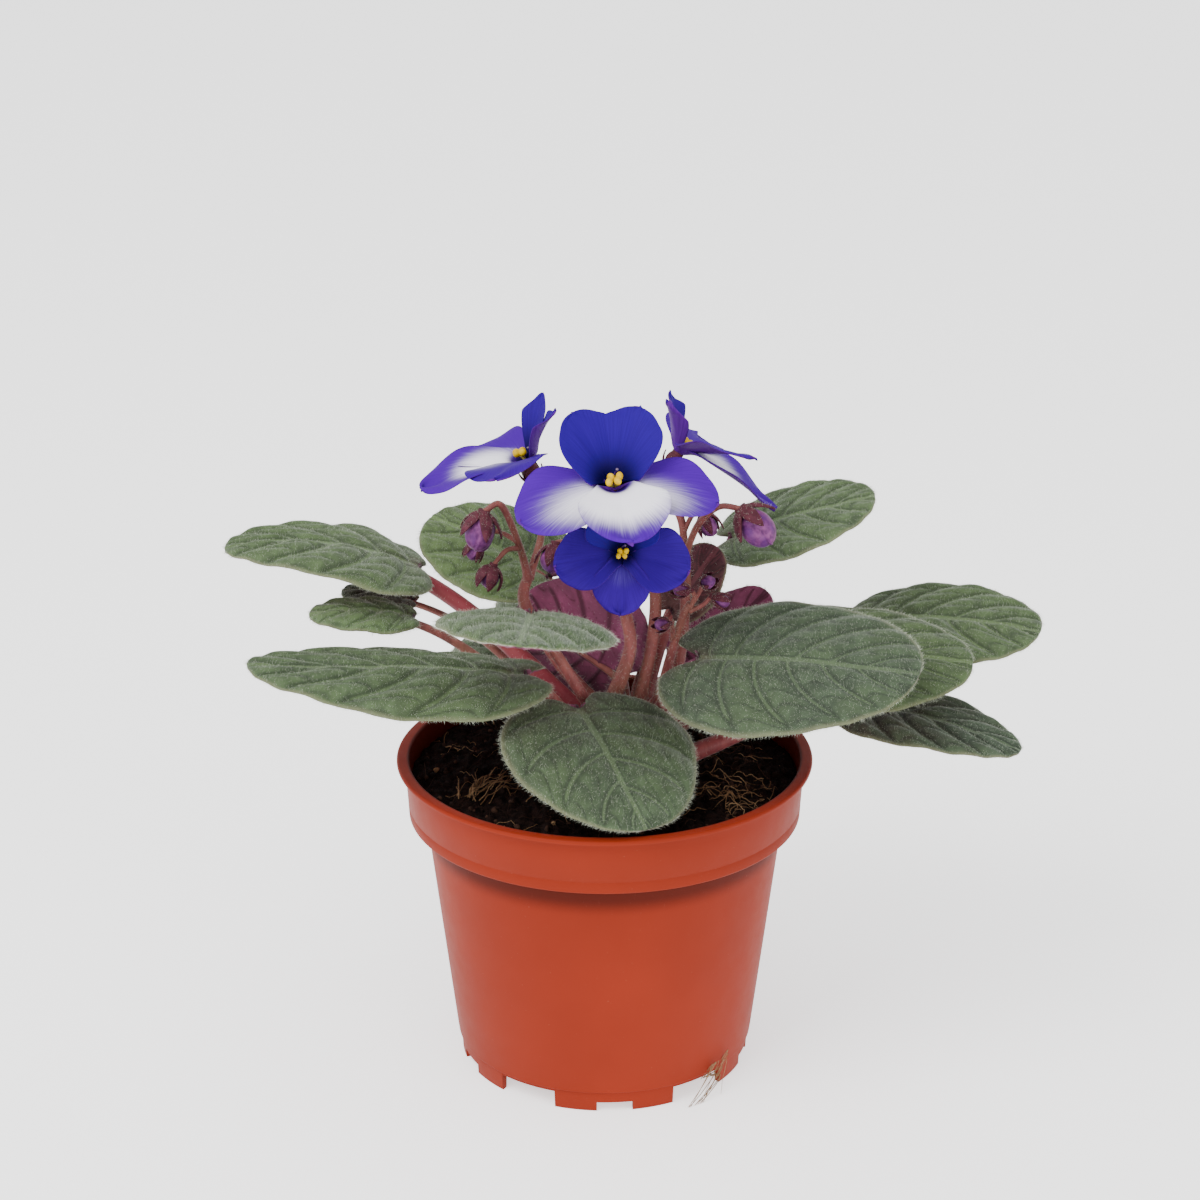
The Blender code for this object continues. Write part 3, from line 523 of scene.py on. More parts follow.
def blade_grid(leaf, coat, u, v, seed):
    """A blade's middle surface, its normals and its relief.

    The margin is an oval whose base is drawn back into two lobes, with small rounded teeth. Rows run from the
    midrib to the margin. The flat blade is bent to one arc across and to another along its midrib, and its
    margin waves up between the side veins.
    """
    length, turned = leaf_frame(leaf)
    out = np.abs(v)
    angle = math.pi * (1 - u)
    long_half = (length + leaf.lobe) / 2
    half = leaf.width / 2
    teeth = TOOTH_HEIGHT * (0.5 + 0.5 * np.sin(2 * math.pi * u * TEETH + seed))
    teeth = teeth + WAVE_HEIGHT * np.sin(2 * math.pi * u * WAVES + seed)
    grow = 1 + teeth / half * out**6 * np.sin(math.pi * u) ** 0.5
    margin_x = length - long_half + long_half * np.cos(angle)
    margin_x = margin_x + leaf.lobe * np.exp(-((math.pi * u / NOTCH_SPREAD) ** 2))
    margin_y = half * np.clip(np.sin(angle), 0, 1) ** BLADE_ROUNDNESS * (1 - leaf.taper * np.cos(angle)) * grow
    midrib_x = length * u**MIDRIB_POWER
    x = midrib_x + (margin_x - midrib_x) * (out - 0.22 * out * (1 - out)) * grow
    y = margin_y * v
    phase = vein_phase(u, v, coat)
    wave = np.cos(2 * math.pi * phase)
    lift = -MARGIN_LIFT * coat.quilt * wave * smooth(0.5, 1.0, out) * np.sin(math.pi * u) ** 0.5
    lift = lift + 0.5 * value_noise(np.stack([x, y, 0 * x + 5 * seed], axis=-1), 13.0, seed)
    curl = math.radians(leaf.cup) / half
    z = (1 - np.cos(curl * y)) / curl + lift
    y = np.sin(curl * y) / curl
    bend = math.radians(leaf.droop) / length
    arc = 1 / bend + z
    middle = np.stack([np.sin(bend * x) * arc, y, arc * np.cos(bend * x) - 1 / bend], axis=-1)
    middle = middle @ turned.T + np.array(leaf.joint, float)
    normals = unit(np.cross(np.gradient(middle, axis=0), np.gradient(middle, axis=1)))
    normals = normals * np.sign((normals @ turned[:, 2]).sum())
    return middle, normals, phase


def blade_reliefs(leaf, coat, u, v, phase, seed):
    """Heights over the two sides of a blade, in mm, and how strong the veins are.

    Above, the blade swells between its side veins and again between the short veins that join them, and dips
    along the midrib. Below, the veins stand out.
    """
    out = np.abs(v)
    half = leaf.width / 2 * np.clip(np.sin(math.pi * u), 0, 1) ** BLADE_ROUNDNESS
    length = leaf_frame(leaf)[0]
    band = np.abs(np.sin(math.pi * phase)) ** 0.55
    rung = np.random.default_rng(seed).uniform(0, 1, 64)[np.floor(phase).astype(int) % 64]
    bridge = np.abs(np.sin(math.pi * (out * half / BRIDGE_SPACING + rung + 0.25 * np.sin(6 * phase)))) ** 0.6
    room = smooth(0.02, 0.16, out) * (1 - smooth(0.86, 1.0, out)) * np.sin(math.pi * u) ** 0.5
    flat = np.stack([length * u + 0 * v, half * v, 0 * u * v + 3.0 * seed], axis=-1)
    grain = value_noise(flat, FINE_GRAIN, seed + 1)
    across = out * half
    dip = MIDRIB_DIP * np.exp(-((across / 1.3) ** 2)) * (1 - 0.8 * u)
    swell = SWELL * coat.quilt * room * (band - 0.45) + SMALL_SWELL * coat.quilt * room * band * (bridge - 0.6)
    above = swell + 0.05 * grain * room - dip
    ridge = np.exp(-((across / 1.5) ** 2)) * (1 - 0.85 * u)
    side_vein = np.clip(1 - band, 0, 1) ** 1.6 * (1 - smooth(0.75, 1.0, out))
    small_vein = np.clip(1 - bridge, 0, 1) ** 2 * band
    below = RIDGE * ridge + SIDE_RIDGE * side_vein + SMALL_RIDGE * small_vein + 0.04 * grain
    vein = np.clip(np.maximum(np.maximum(side_vein, 0.6 * small_vein), np.exp(-((across / 0.9) ** 2))), 0, 1)
    return above, below, vein


def scattered(points, normals, count, draw):
    """Random places on a grid, as many on each cell as its area asks for: (places, their normals, cells)."""
    corner = points[:-1, :-1]
    area = np.linalg.norm(np.cross(points[1:, :-1] - corner, points[:-1, 1:] - corner), axis=-1)
    chosen = draw.choice(area.size, count, p=(area / area.sum()).ravel())
    i, j = np.unravel_index(chosen, area.shape)
    a, b = draw.uniform(0, 1, (2, count, 1))

    def between(grid):
        near = grid[i, j] * (1 - b) + grid[i, j + 1] * b
        far = grid[i + 1, j] * (1 - b) + grid[i + 1, j + 1] * b
        return near * (1 - a) + far * a

    return between(points), unit(between(normals)), (i, j)


def fuzz(points, normals, count, length, width, draw, slot=0, lean=0.35):
    """Short hairs all over a grid, each standing up from it and leaning a little to one side."""
    places, ups, _ = scattered(points, normals, count, draw)
    ways = unit(ups + lean * draw.normal(0, 1, (count, 3)))
    return spikes(places, ways, length * draw.uniform(0.6, 1.25, count), width, slot)


def make_leaf(name, leaf, coat, seed, settings, looks):
    """A blade with its petiole, which runs on under it as the midrib, and the hairs on both."""
    draw = np.random.default_rng(100 + seed)
    small = leaf.width < 25
    rows, half_columns = (70, 24) if small else (124, 42)
    u = np.linspace(0, 1, rows + 2)[1:-1, None]
    w = np.linspace(-1, 1, 2 * half_columns + 1)[None, :]
    v = w * (1.25 - 0.25 * w**2)
    middle, normals, phase = blade_grid(leaf, coat, u, v, seed)
    above, below, vein = blade_reliefs(leaf, coat, u, v, phase, seed)
    out = np.abs(v) + 0 * u
    thick = settings.blade_thickness / MM * np.sqrt(np.clip(1 - out**8, 0, 1)) / 2
    thick = thick * (0.45 + 0.55 * np.sin(math.pi * u) ** 0.4)
    if coat.turned:
        above, below = below, above
    fade = np.sqrt(np.clip(1 - out**12, 0, 1))
    upper = middle + normals * (thick + above * fade)[..., None]
    lower = middle - normals * (thick + below * fade)[..., None]
    rings = np.concatenate([upper, lower[:, -2:0:-1]], axis=1)
    red = 0.5 * np.exp(-(((u / 0.12) ** 2) + (out * np.sin(math.pi * u) / 0.2) ** 2)) + coat.red * (1 - u) ** 2
    edge = smooth(0.93, 1.0, out)
    face = channels(vein, edge, np.clip(red, 0, 1), coat.turned)
    back = face.copy()
    back[..., 3] = 1.0 - coat.turned
    tones = np.concatenate([face, back[:, -2:0:-1]], axis=1)
    flat = channels(u, (v + 1) / 2)
    uv = np.concatenate([flat, flat[:, -2:0:-1]], axis=1)
    poles = (np.array(leaf.joint, float), np.array(leaf.tip, float))
    blade = outward(closed_part(rings, tones, uv, 0, poles))
    stem, stem_rings = petiole(leaf, middle, normals, u, coat)
    length = leaf_frame(leaf)[0]
    area = leaf.width * length * 0.78
    hair = settings.hair_length / MM * coat.hair
    dense = settings.hair_density
    top_share, under_share = (0.12, 0.8) if coat.turned or coat.plum else (1.0, 0.12)
    coats = [fuzz(upper, normals, int(area * dense * top_share), hair, HAIR_WIDTH, draw)]
    coats.append(fuzz(lower, -normals, int(area * dense * under_share), 0.8 * hair, HAIR_WIDTH, draw))
    coats.append(margin_fuzz(middle, normals, int(MARGIN_HAIRS * (length + leaf.width)), 1.5 * hair, draw))
    outside = unit(stem_rings - stem_rings.mean(axis=1, keepdims=True))
    stem_hair = 1.2 * settings.hair_length / MM
    coats.append(fuzz(stem_rings, outside, int(14 * len(stem_rings)), stem_hair, HAIR_WIDTH, draw))
    made = make_object(name, [blade], [looks["leaf"](name, coat)])
    settle(made, "leaf_green", name)
    settle(make_object(f"{name}_petiole", [stem], [looks["stalk"]]), "stalk_red")
    settle(make_object(f"{name}_hairs", coats, [looks["hair"]]), "leaf_green")
    return made


def margin_fuzz(middle, normals, count, length, draw):
    """Hairs that stand out from a blade's margin, in its plane and a little above it."""
    i = draw.integers(0, len(middle) - 1, count)
    side = draw.integers(0, 2, count)
    edge = np.where(side[:, None] == 0, middle[i, 0], middle[i, -1])
    inner = np.where(side[:, None] == 0, middle[i, 2], middle[i, -3])
    after = np.where(side[:, None] == 0, middle[i + 1, 0], middle[i + 1, -1])
    places = edge + (after - edge) * draw.uniform(0, 1, (count, 1))
    ways = unit(edge - inner) + 0.5 * normals[i, 0] * draw.uniform(-0.4, 1.0, (count, 1))
    ways = unit(ways + 0.3 * draw.normal(0, 1, (count, 3)))
    return spikes(places, ways, length * draw.uniform(0.6, 1.2, count), 1.5 * HAIR_WIDTH)


def petiole(leaf, middle, normals, u, coat):
    """A stem along a cubic curve from the crown to the blade's notch, and on under the midrib to its tip.

    Its radius falls from the crown to the notch, and then evenly to almost nothing.
    """
    length, turned = leaf_frame(leaf)
    share = min(max(leaf.height / CROWN_HEIGHT, 0.0), 1.0)
    crown = CROWN_RADIUS + (CROWN_TOP_RADIUS - CROWN_RADIUS) * share
    foot = SOIL_TOP + 1.0 + leaf.height
    root = around(leaf.bearing, crown + 0.3 * leaf.swell, foot) + np.array([*CROWN_PLACE, 0.0])
    joint = np.array(leaf.joint, float)
    run = np.linalg.norm(joint - root)
    depth = 0.31 * leaf.swell + 0.15
    end = joint + turned @ np.array([0.09 * length, 0.0, -depth])
    before = joint + turned @ np.array([-0.36 * run, 0.0, -depth - 0.8])
    start = root - 2.0 * pointing(leaf.bearing, leaf.rise)
    line = bezier([start, root + 0.4 * run * pointing(leaf.bearing, leaf.rise), before, end], np.linspace(0, 1, 40))
    centre = middle.shape[1] // 2
    under = u[:, 0] ** MIDRIB_POWER > 0.13
    step = max(1, under.sum() // 24)
    rib, away = middle[under, centre][::step][:20], normals[under, centre][::step][:20]
    fall = np.linspace(0.29 * leaf.swell, 0.25, len(rib))
    rib = rib - (fall + 0.15)[:, None] * away
    path = np.vstack([line, rib])
    radii = np.concatenate([leaf.swell * np.linspace(0.5, 0.31, len(line)), fall])
    radii = radii * (1 + 0.04 * np.sin(np.linspace(0, 9, len(path)) + leaf.bearing))
    rings = tube_rings(path, radii, 18)
    share = np.linspace(0, 1, len(path))[:, None] + np.zeros((1, 18))
    return outward(closed_part(rings, channels(share, coat.stem, 0, 0))), rings[: len(line)]


# ---------------------------------------------------------------- flowers


def lobe_rings(lobe, size, thickness):
    """One lobe of a corolla in the flower's own axes: closed rings, and its face's (x, y, distance out).

    Its half width grows along a sine from the throat to its widest, then closes along a quarter circle. It is
    raised about a line near the throat, bent across, sunk into the throat by a Gaussian, and its margin waves.
    """
    widest = lobe.widest
    closing = widest + (1 - widest) * np.sin(np.linspace(0, 1.54, 26))
    out_share = np.concatenate([np.linspace(0, widest, 22)[:-1], closing])
    past_widest = np.clip((out_share - widest) / (1 - widest), 0, 1)
    half = np.where(
        out_share < widest,
        lobe.base + (1 - lobe.base) * np.sin(math.pi / 2 * np.clip(out_share / widest, 0, 1)) ** 1.25,
        np.sqrt(np.clip(1 - past_widest**2, 0, 1)) * (1 - 0.6 * lobe.point * past_widest),
    )
    s = out_share[:, None]
    w = np.linspace(-1, 1, 31)[None, :]
    reach = LOBE_ROOT + (lobe.length - LOBE_ROOT) * s
    side = lobe.width / 2 * half[:, None] * w
    reach = reach - 0.055 * lobe.width * (w**2) * smooth(0.1, 0.7, s) * (1 - smooth(0.85, 1.0, s))
    reach = reach + 0.35 * np.sin(9 * w + lobe.phase) * smooth(0.75, 1.0, s) * (1 - w**2)
    lift = math.radians(lobe.lift)
    past = np.maximum(reach - LOBE_HINGE, 0)
    level = np.minimum(reach, LOBE_HINGE) + past * math.cos(lift)
    far = np.hypot(level, side)
    height = past * math.sin(lift)
    height = height + np.tan(math.radians(lobe.cup)) * side**2 / (lobe.width / 2)
    side_wave = np.sin(7.5 * s + 3.0 * np.sign(w) + lobe.phase)
    height = height + lobe.ruffle * smooth(0.25, 1.0, s) * np.abs(w) ** 1.5 * side_wave
    height = height + 0.55 * lobe.ruffle * smooth(0.6, 1.0, s) * np.sin(6.0 * w + 2 * lobe.phase)
    height = height - 0.35 * np.exp(-((side / 1.3) ** 2)) * smooth(0.1, 0.5, s) * (1 - smooth(0.8, 1.0, s))
    height = height - LOBE_TIP_FALL * smooth(0.45, 1.0, s) ** 2
    height = height + LOBE_LAYER * lobe.layer * smooth(2.0, 7.0, far)
    height = height - THROAT_DEPTH * np.exp(-((far / THROAT_SPREAD) ** 2))
    angle = math.radians(lobe.bearing)
    x = level * math.cos(angle) - side * math.sin(angle)
    y = level * math.sin(angle) + side * math.cos(angle)
    middle = np.stack([x, y, height + 0 * w], axis=-1) * size
    normals = unit(np.cross(np.gradient(middle, axis=0), np.gradient(middle, axis=1)))
    normals = normals * np.sign(normals[..., 2].sum())
    thick = thickness / 2 * (1 - 0.55 * smooth(0.7, 1.0, np.abs(w) + 0 * s) * smooth(0.2, 0.5, s))[..., None]
    face, back = middle + normals * thick, middle - normals * thick
    rings = np.concatenate([face, back[:, ::-1]], axis=1)
    return rings, (x, y, far)


def petal_tones(lobe, place, white, heart):
    """White in an oval below the throat, deep violet by the lobe's own darkness, and navy in the throat."""
    x, y, far = place
    oval = np.hypot(x / heart[0], (y + heart[2]) / heart[1])
    pale = white * (1 - smooth(0.15, 1.12, oval)) * smooth(2.2, 5.5, far) * (1 - lobe.dark)
    throat = np.exp(-((far / 4.2) ** 2)) + 0.5 * lobe.dark * np.exp(-((far / 9.5) ** 2))
    return channels(pale, lobe.dark, throat, 0)


HEARTS = {
    "flower_middle": (1.0, (24.0, 12.5, 7.8)),
    "flower_low": (0.65, (10.0, 7.0, 8.0)),
    "flower_left": (1.0, (13.0, 14.0, 10.0)),
    "flower_right": (1.0, (11.0, 13.0, 11.0)),
}
# How white a flower's heart is, and the oval that it fills: half its breadth, half its height and how far
# its middle is below the throat.


def oval(centre, frame, radii, rings=14, columns=20, fold=None):
    """Rings of an ellipsoid, from its low pole to its high one; fold scales each point by its two angles."""
    down = np.linspace(0, math.pi, rings + 2)[1:-1, None]
    turn = np.linspace(0, 2 * math.pi, columns, endpoint=False)[None, :]
    scale = 1.0 if fold is None else fold(down, turn)
    local = np.stack([np.sin(down) * np.cos(turn), np.sin(down) * np.sin(turn), -np.cos(down) + 0 * turn], axis=-1)
    local = local * np.broadcast_to(np.asarray(scale, float), local.shape[:2])[..., None] * np.array(radii)
    poles = [np.array(centre, float) + frame @ (np.array([0, 0, z]) * radii[2]) for z in (-1.0, 1.0)]
    return local @ frame.T + np.array(centre, float), poles


def oval_part(centre, frame, radii, tones=None, slot=0, **steps):
    """A closed ellipsoid of one tone."""
    rings, poles = oval(centre, frame, radii, **steps)
    shade = None if tones is None else np.broadcast_to(np.array(tones, float), (*rings.shape[:2], 4))
    return outward(closed_part(rings, shade, None, slot, poles))


def sepals(centre, frame, radii, reach, flare, count, draw, spread=0.52):
    """Pointed sepals over an oval: each follows it from its base for this share, then flares away from it."""
    parts = []
    for k in range(count):
        t = np.linspace(0, 1, 15)[:, None]
        w = np.linspace(-1, 1, 7)[None, :]
        down = 0.25 + (reach * math.pi - 0.25) * t
        wide = spread * (np.sin(math.pi * np.clip(0.22 + 0.78 * t, 0, 1)) ** 0.8) + 0.02
        turn = 2 * math.pi * k / count + draw.uniform(-0.15, 0.15) + wide * w / np.maximum(np.sin(down), 0.35)
        away = 1.07 + flare * t**2 + 0.05 * (1 - w**2) + draw.uniform(0, 0.06)
        local = np.stack([np.sin(down) * np.cos(turn), np.sin(down) * np.sin(turn), -np.cos(down) + 0 * w], axis=-1)
        outer = local * away[..., None] * np.array(radii)
        inner = local * (away - 0.09)[..., None] * np.array(radii)
        rings = np.concatenate([outer, inner[:, ::-1]], axis=1) @ frame.T + centre
        tones = channels(t + np.zeros((1, rings.shape[1])), 1, 0, 0)
        parts.append((outward(closed_part(rings, tones)), rings))
    return parts


def flower_frame(flower):
    """A flower's axes and the middle of its throat."""
    return facing(flower.heading, flower.elevation, flower.spin), np.array(flower.throat, float)


def make_corolla(name, flower, settings, looks):
    """Five lobes joined at the throat, each streaked along its own length."""
    turned, throat = flower_frame(flower)
    white, heart = HEARTS[f"flower_{name}"]
    parts = []
    for lobe in LOBES[f"flower_{name}"]:
        rings, (x, y, far) = lobe_rings(lobe, flower.size, settings.petal_thickness / MM)
        tones = petal_tones(lobe, (x, y, far), white, heart)
        back = tones[:, ::-1].copy()
        back[..., 3] = 1.0
        pairs = channels(np.degrees(np.arctan2(y, x)) / 30.0, far / 20.0)
        uv = np.concatenate([pairs, pairs[:, ::-1]], axis=1)
        world = rings @ turned.T + throat
        parts.append(outward(closed_part(world, np.concatenate([tones, back], axis=1), uv)))
    made = make_object(f"corolla_{name}", parts, [looks["petal"]])
    return settle(made, "petal_violet", f"corolla_{name}")


def make_anthers(name, flower, looks):
    """Two anthers of two cells each on short filaments that meet in the throat."""
    turned, throat = flower_frame(flower)
    size = flower.size
    radii = np.array([1.12, 0.86, 0.98]) * size

    def crease(down, turn):
        return 1 - 0.10 * np.exp(-(((turn - math.pi / 2) / 0.5) ** 2)) * np.sin(down)

    parts = []
    for side in (-1, 1):
        for cell in (-1, 1):
            lean = axes(turned @ np.array([side * 0.35, cell * 0.9, 0.25]))
            local = np.array([side * 0.95 + 0.25 * cell, -0.9 + 0.72 * cell, 1.35 + 0.12 * side])
            parts.append(oval_part(throat + turned @ local * size, lean, radii, (0, 0, 0, 0), fold=crease))
        foot = throat + turned @ np.array([0.5 * side, -0.2, -1.6]) * size
        top = throat + turned @ np.array([0.9 * side, -0.8, 1.2]) * size
        line = bezier([foot, foot + turned[:, 2] * 1.0, top - turned[:, 2] * 0.8, top], np.linspace(0, 1, 10))
        parts.append(plain_tube(line, 0.42 * size, 10, (1, 0, 0, 0)))
    made = make_object(f"anthers_{name}", parts, [looks["anther"]])
    return settle(made, "anther_yellow", f"anthers_{name}")


def make_pistil(name, flower, looks):
    """A thin style that leans out past the anthers, with a small round stigma."""
    turned, throat = flower_frame(flower)
    size = flower.size
    foot = throat + turned @ np.array([0.0, 1.7 * size, -0.9 * size])
    end = throat + turned @ np.array([0.9, 1.6, 2.0]) * size
    ahead = turned[:, 2]
    line = bezier([foot, foot + ahead * 1.2 * size, end - ahead * 0.8 * size, end], np.linspace(0, 1, 22))
    shade = np.linspace(0, 1, 22)[:, None] + np.zeros((1, 10))
    style = outward(closed_part(tube_rings(line, np.linspace(0.34, 0.22, 22) * size, 10), channels(shade, 0, 0, 0)))
    knob = oval_part(end, turned, np.array([0.36, 0.36, 0.28]) * size, (1, 1, 0, 0))
    made = make_object(f"pistil_{name}", [style, knob], [looks["pistil"]])
    return settle(made, "pistil_purple", f"pistil_{name}")


def make_flower_calyx(name, flower, looks):
    """Five narrow sepals spread behind a corolla, round the cup that its tube stands in."""
    draw = np.random.default_rng(int(10 * flower.throat[2]))
    turned, throat = flower_frame(flower)
    axis = turned[:, 2]
    centre = throat - axis * (THROAT_DEPTH + CALYX_DEPTH) * flower.size
    radii = np.array([2.3, 2.3, 3.0]) * flower.size
    cup = oval_part(centre, turned, radii, (0.2, 1, 0, 0))
    tube = bezier([centre, centre + axis, centre + 2 * axis, centre + axis * 3.2 * flower.size], np.linspace(0, 1, 6))
    neck = plain_tube(tube, 1.7 * flower.size, 14, (0.3, 0.3, 0.3, 0.3))
    leaves = sepals(centre, turned, radii, 0.60, 0.40, 5, draw, 0.48)
    hairs = [fuzz(r, unit(r - centre), 60, 0.8, HAIR_WIDTH, draw, 1) for _, r in leaves]
    parts = [cup, neck] + [part for part, _ in leaves] + hairs
    return settle(make_object(f"calyx_{name}", parts, [looks["sepal"], looks["hair"]]), "stalk_red")


def make_bud(name, bud, seed, looks):
    """Folded petals as an oval with overlapping turns, and five sepals that clasp its base."""
    draw = np.random.default_rng(500 + seed)
    turned = facing(bud.heading, bud.elevation)
    axis = turned[:, 2]
    centre = np.array(bud.base, float) + axis * (0.3 + bud.length / 2)
    radii = np.array([bud.width / 2, bud.width / 2, bud.length / 2])

    def folds(down, turn):
        lap = (turn * 3 / (2 * math.pi) + 0.75 * np.sin(down * 0.9) + 0.12 * np.sin(2 * turn)) % 1.0
        return 0.90 + 0.13 * lap**1.5 * np.sin(down) ** 0.7 - 0.05 * np.exp(-((lap / 0.1) ** 2)) * np.sin(down)

    heart = oval_part(centre, turned, radii, (0, 0, 0, 0), rings=34, columns=60, fold=folds)
    reach = 0.80 - 0.46 * bud.open
    clasp = sepals(centre, turned, radii, reach, 0.45 - 0.1 * bud.open, 5, draw, 0.54 - 0.26 * bud.open)
    stub = np.array(bud.base, float)[None] + axis * np.linspace(-0.6, 0.9, 4)[:, None]
    knot = plain_tube(stub, 0.2 * bud.width, 12, (0.2, 0.2, 0.2, 0.2))
    hairs = [fuzz(r, unit(r - centre), 50, 0.10 * bud.length, HAIR_WIDTH, draw, 2) for _, r in clasp]
    parts = [heart] + [part._replace(slot=1) for part, _ in clasp] + [knot._replace(slot=1)] + hairs
    made = make_object(name, parts, [looks["bud"], looks["sepal"], looks["hair"]])
    return settle(made, "bud_purple", name)


def make_stalk(name, branches, seed, settings, looks):
    """Round stems along smooth lines, each branch starting inside the stem that bears it, with fine hairs."""
    draw = np.random.default_rng(900 + seed)
    parts = []
    for branch in branches:
        points = list(branch.points)
        if branch.end in FLOWERS:
            flower = FLOWERS[branch.end]
            axis = pointing(flower.heading, flower.elevation)
            points.append(np.array(flower.throat, float) - axis * (THROAT_DEPTH + STALK_DEPTH) * flower.size)
        elif branch.end:
            bud = BUDS[branch.end]
            points.append(np.array(bud.base, float) - pointing(bud.heading, bud.elevation) * 0.2)
        line = through(points, 9)
        share = np.linspace(0, 1, len(line))
        first, last = branch.thickness
        radii = (first + (last - first) * share) / 2
        radii = radii * (1 + 0.05 * np.sin(13 * share + seed)) + 0.25 * np.exp(-((share / 0.06) ** 2))
        rings = tube_rings(line, radii, 16)
        tones = channels(0.35, 0.25, share[:, None] + np.zeros((1, 16)), 0)
        parts.append(outward(closed_part(rings, tones)))
        long = np.linalg.norm(np.diff(line, axis=0), axis=1).sum()
        outside = unit(rings - rings.mean(axis=1, keepdims=True))
        count = int(long * (first + last) * 2.6)
        hair = settings.hair_length / MM
        parts.append(fuzz(rings, outside, count, 1.1 * hair, HAIR_WIDTH, draw, 1, 0.25))
    made = make_object(name, parts, [looks["stalk"], looks["hair"]])
    return settle(made, "stalk_red", name)


# ---------------------------------------------------------------- potting mix and pot

SOIL_EDGE_RADIUS = 46.2
FOOT_HEIGHT = 5.3
FLOOR_THICKNESS = 1.2
WALL = 1.0
COLLAR_HEIGHT = 14.5
COLLAR_FOOT_RADIUS = 47.2
SHOULDER_RADIUS = 43.1
BODY_FOOT_RADIUS = 36.1
FOOT_RADIUS = 35.5
PAD_RADIUS = 6.0
LIP_HEIGHT = 1.4
LIP_OVERHANG = 2.0
NOTCH_COUNT = 5
NOTCH_FIRST_BEARING = -122.0
LARGE_NOTCH = (15.0, 4.4)
SMALL_NOTCH = (8.6, 2.4)
# Widths and heights of the foot's notches.
DRAIN_RADIUS = 4.0
DRAIN_REACH = 27.0
GROOVE_RISE = 2.9
# The fine groove round the collar is this far above the collar's foot.
INSIDE_SLANT = 0.061
INSIDE_REACH = 42.75
# The middle of the collar's wall is this far out at height 0, in mm, and this much farther for each mm up.
SOIL_LAYERS = ((SOIL_EDGE_RADIUS, SOIL_TOP - 4.5), (41.8, SOIL_TOP - 11.0), (34.5, 8.0), (33.0, 7.0))
# Radii and heights of the peat inside the pot, from its edge down.


def soil_height(x, y):
    """A low dome with clods: three sizes of smooth noise, the larger ones raised to be rounder on top."""
    far = np.hypot(x, y)
    place = np.stack([x, y, 0 * x], axis=-1)
    clods = np.abs(value_noise(place, 6.5, 71)) * 2.0 + np.abs(value_noise(place, 2.7, 72)) * 1.3
    crumbs = value_noise(place, 1.1, 73) * 0.45
    dome = SOIL_TOP - 1.6 * smooth(20, SOIL_EDGE_RADIUS, far)
    calm = 1 - 0.5 * smooth(SOIL_EDGE_RADIUS - 2.5, SOIL_EDGE_RADIUS, far)
    return dome - 1.1 + (clods + crumbs) * calm


def make_soil(settings, looks):
    """The peat: a disc with clods on top, closed by a plain body inside the pot, with crumbs and fibres on it."""
    far = np.linspace(0.6, SOIL_EDGE_RADIUS, 150)[:, None]
    turn = np.linspace(0, 2 * math.pi, 420, endpoint=False)[None, :]
    x, y = far * np.cos(turn), far * np.sin(turn)
    top = np.stack([x, y, soil_height(x, y)], axis=-1)
    skirt = [channels(r * np.cos(turn[0]), r * np.sin(turn[0]), z) for r, z in SOIL_LAYERS]
    body = outward(closed_part(np.concatenate([top, np.array(skirt)])))
    made = make_object("potting_mix", [body], [looks["peat"]])
    settle(made, "peat", "potting_mix")
    settle(make_crumbs(settings, looks), "peat")
    settle(make_fibres(settings, looks), "peat")
    settle(make_foot_roots(looks), "peat")
    return made


def soil_place(draw, count, least=9.0):
    """Random places on the peat outside the crown, as many per area near the rim as near the middle."""
    far = np.sqrt(draw.uniform(least**2, (SOIL_EDGE_RADIUS - 1.2) ** 2, count))
    turn = draw.uniform(0, 2 * math.pi, count)
    x, y = far * np.cos(turn), far * np.sin(turn)
    return np.stack([x, y, soil_height(x, y)], axis=-1)


def make_crumbs(settings, looks):
    """Loose crumbs: knobbly ovals of 30 faces, dark ones of peat and a few pale ones of bark and grit."""
    draw = np.random.default_rng(7)
    count = settings.crumbs
    places = soil_place(draw, count)
    sizes = draw.uniform(0.25, 0.95, count) ** 1.4 * 1.25
    pale = draw.uniform(0, 1, count) < 0.07
    sizes = np.where(pale, sizes * 0.7, sizes)
    parts = []
    for place, size, light in zip(places, sizes, pale):
        heading, slope, lump = draw.uniform(0, 360), draw.uniform(-60, 60), draw.uniform(0.75, 1.25, (4, 6))
        radii = size * draw.uniform(0.5, 1.0, 3)
        tone = (1.0 if light else 0.0, draw.uniform(0, 1), 0, 0)
        frame_at = facing(heading, slope)
        parts.append(oval_part(place, frame_at, radii, tone, rings=4, columns=6, fold=lambda d, t, k=lump: k))
    return make_object("peat_crumbs", parts, [looks["crumb"]])


Tuft = namedtuple("Tuft", "count middle spread heading long rise bow radius")
TUFTS = (
    Tuft(26, (-31.0, -18.0, 0.0), (2.4, 2.0, 0.0), (35, 105), (8, 17), (0.4, 2.4), (-0.2, 0.2), 0.14),
    Tuft(30, (30.0, -16.0, 0.0), (5.0, 4.0, 0.0), (0, 360), (4, 9), (0.5, 2.2), (-0.9, 0.9), 0.12),
)
# Two tufts of tan roots on the peat. middle, spread: where they start. heading, long, rise, bow: the least and
# the most of each root's bearing, length, height and bend.


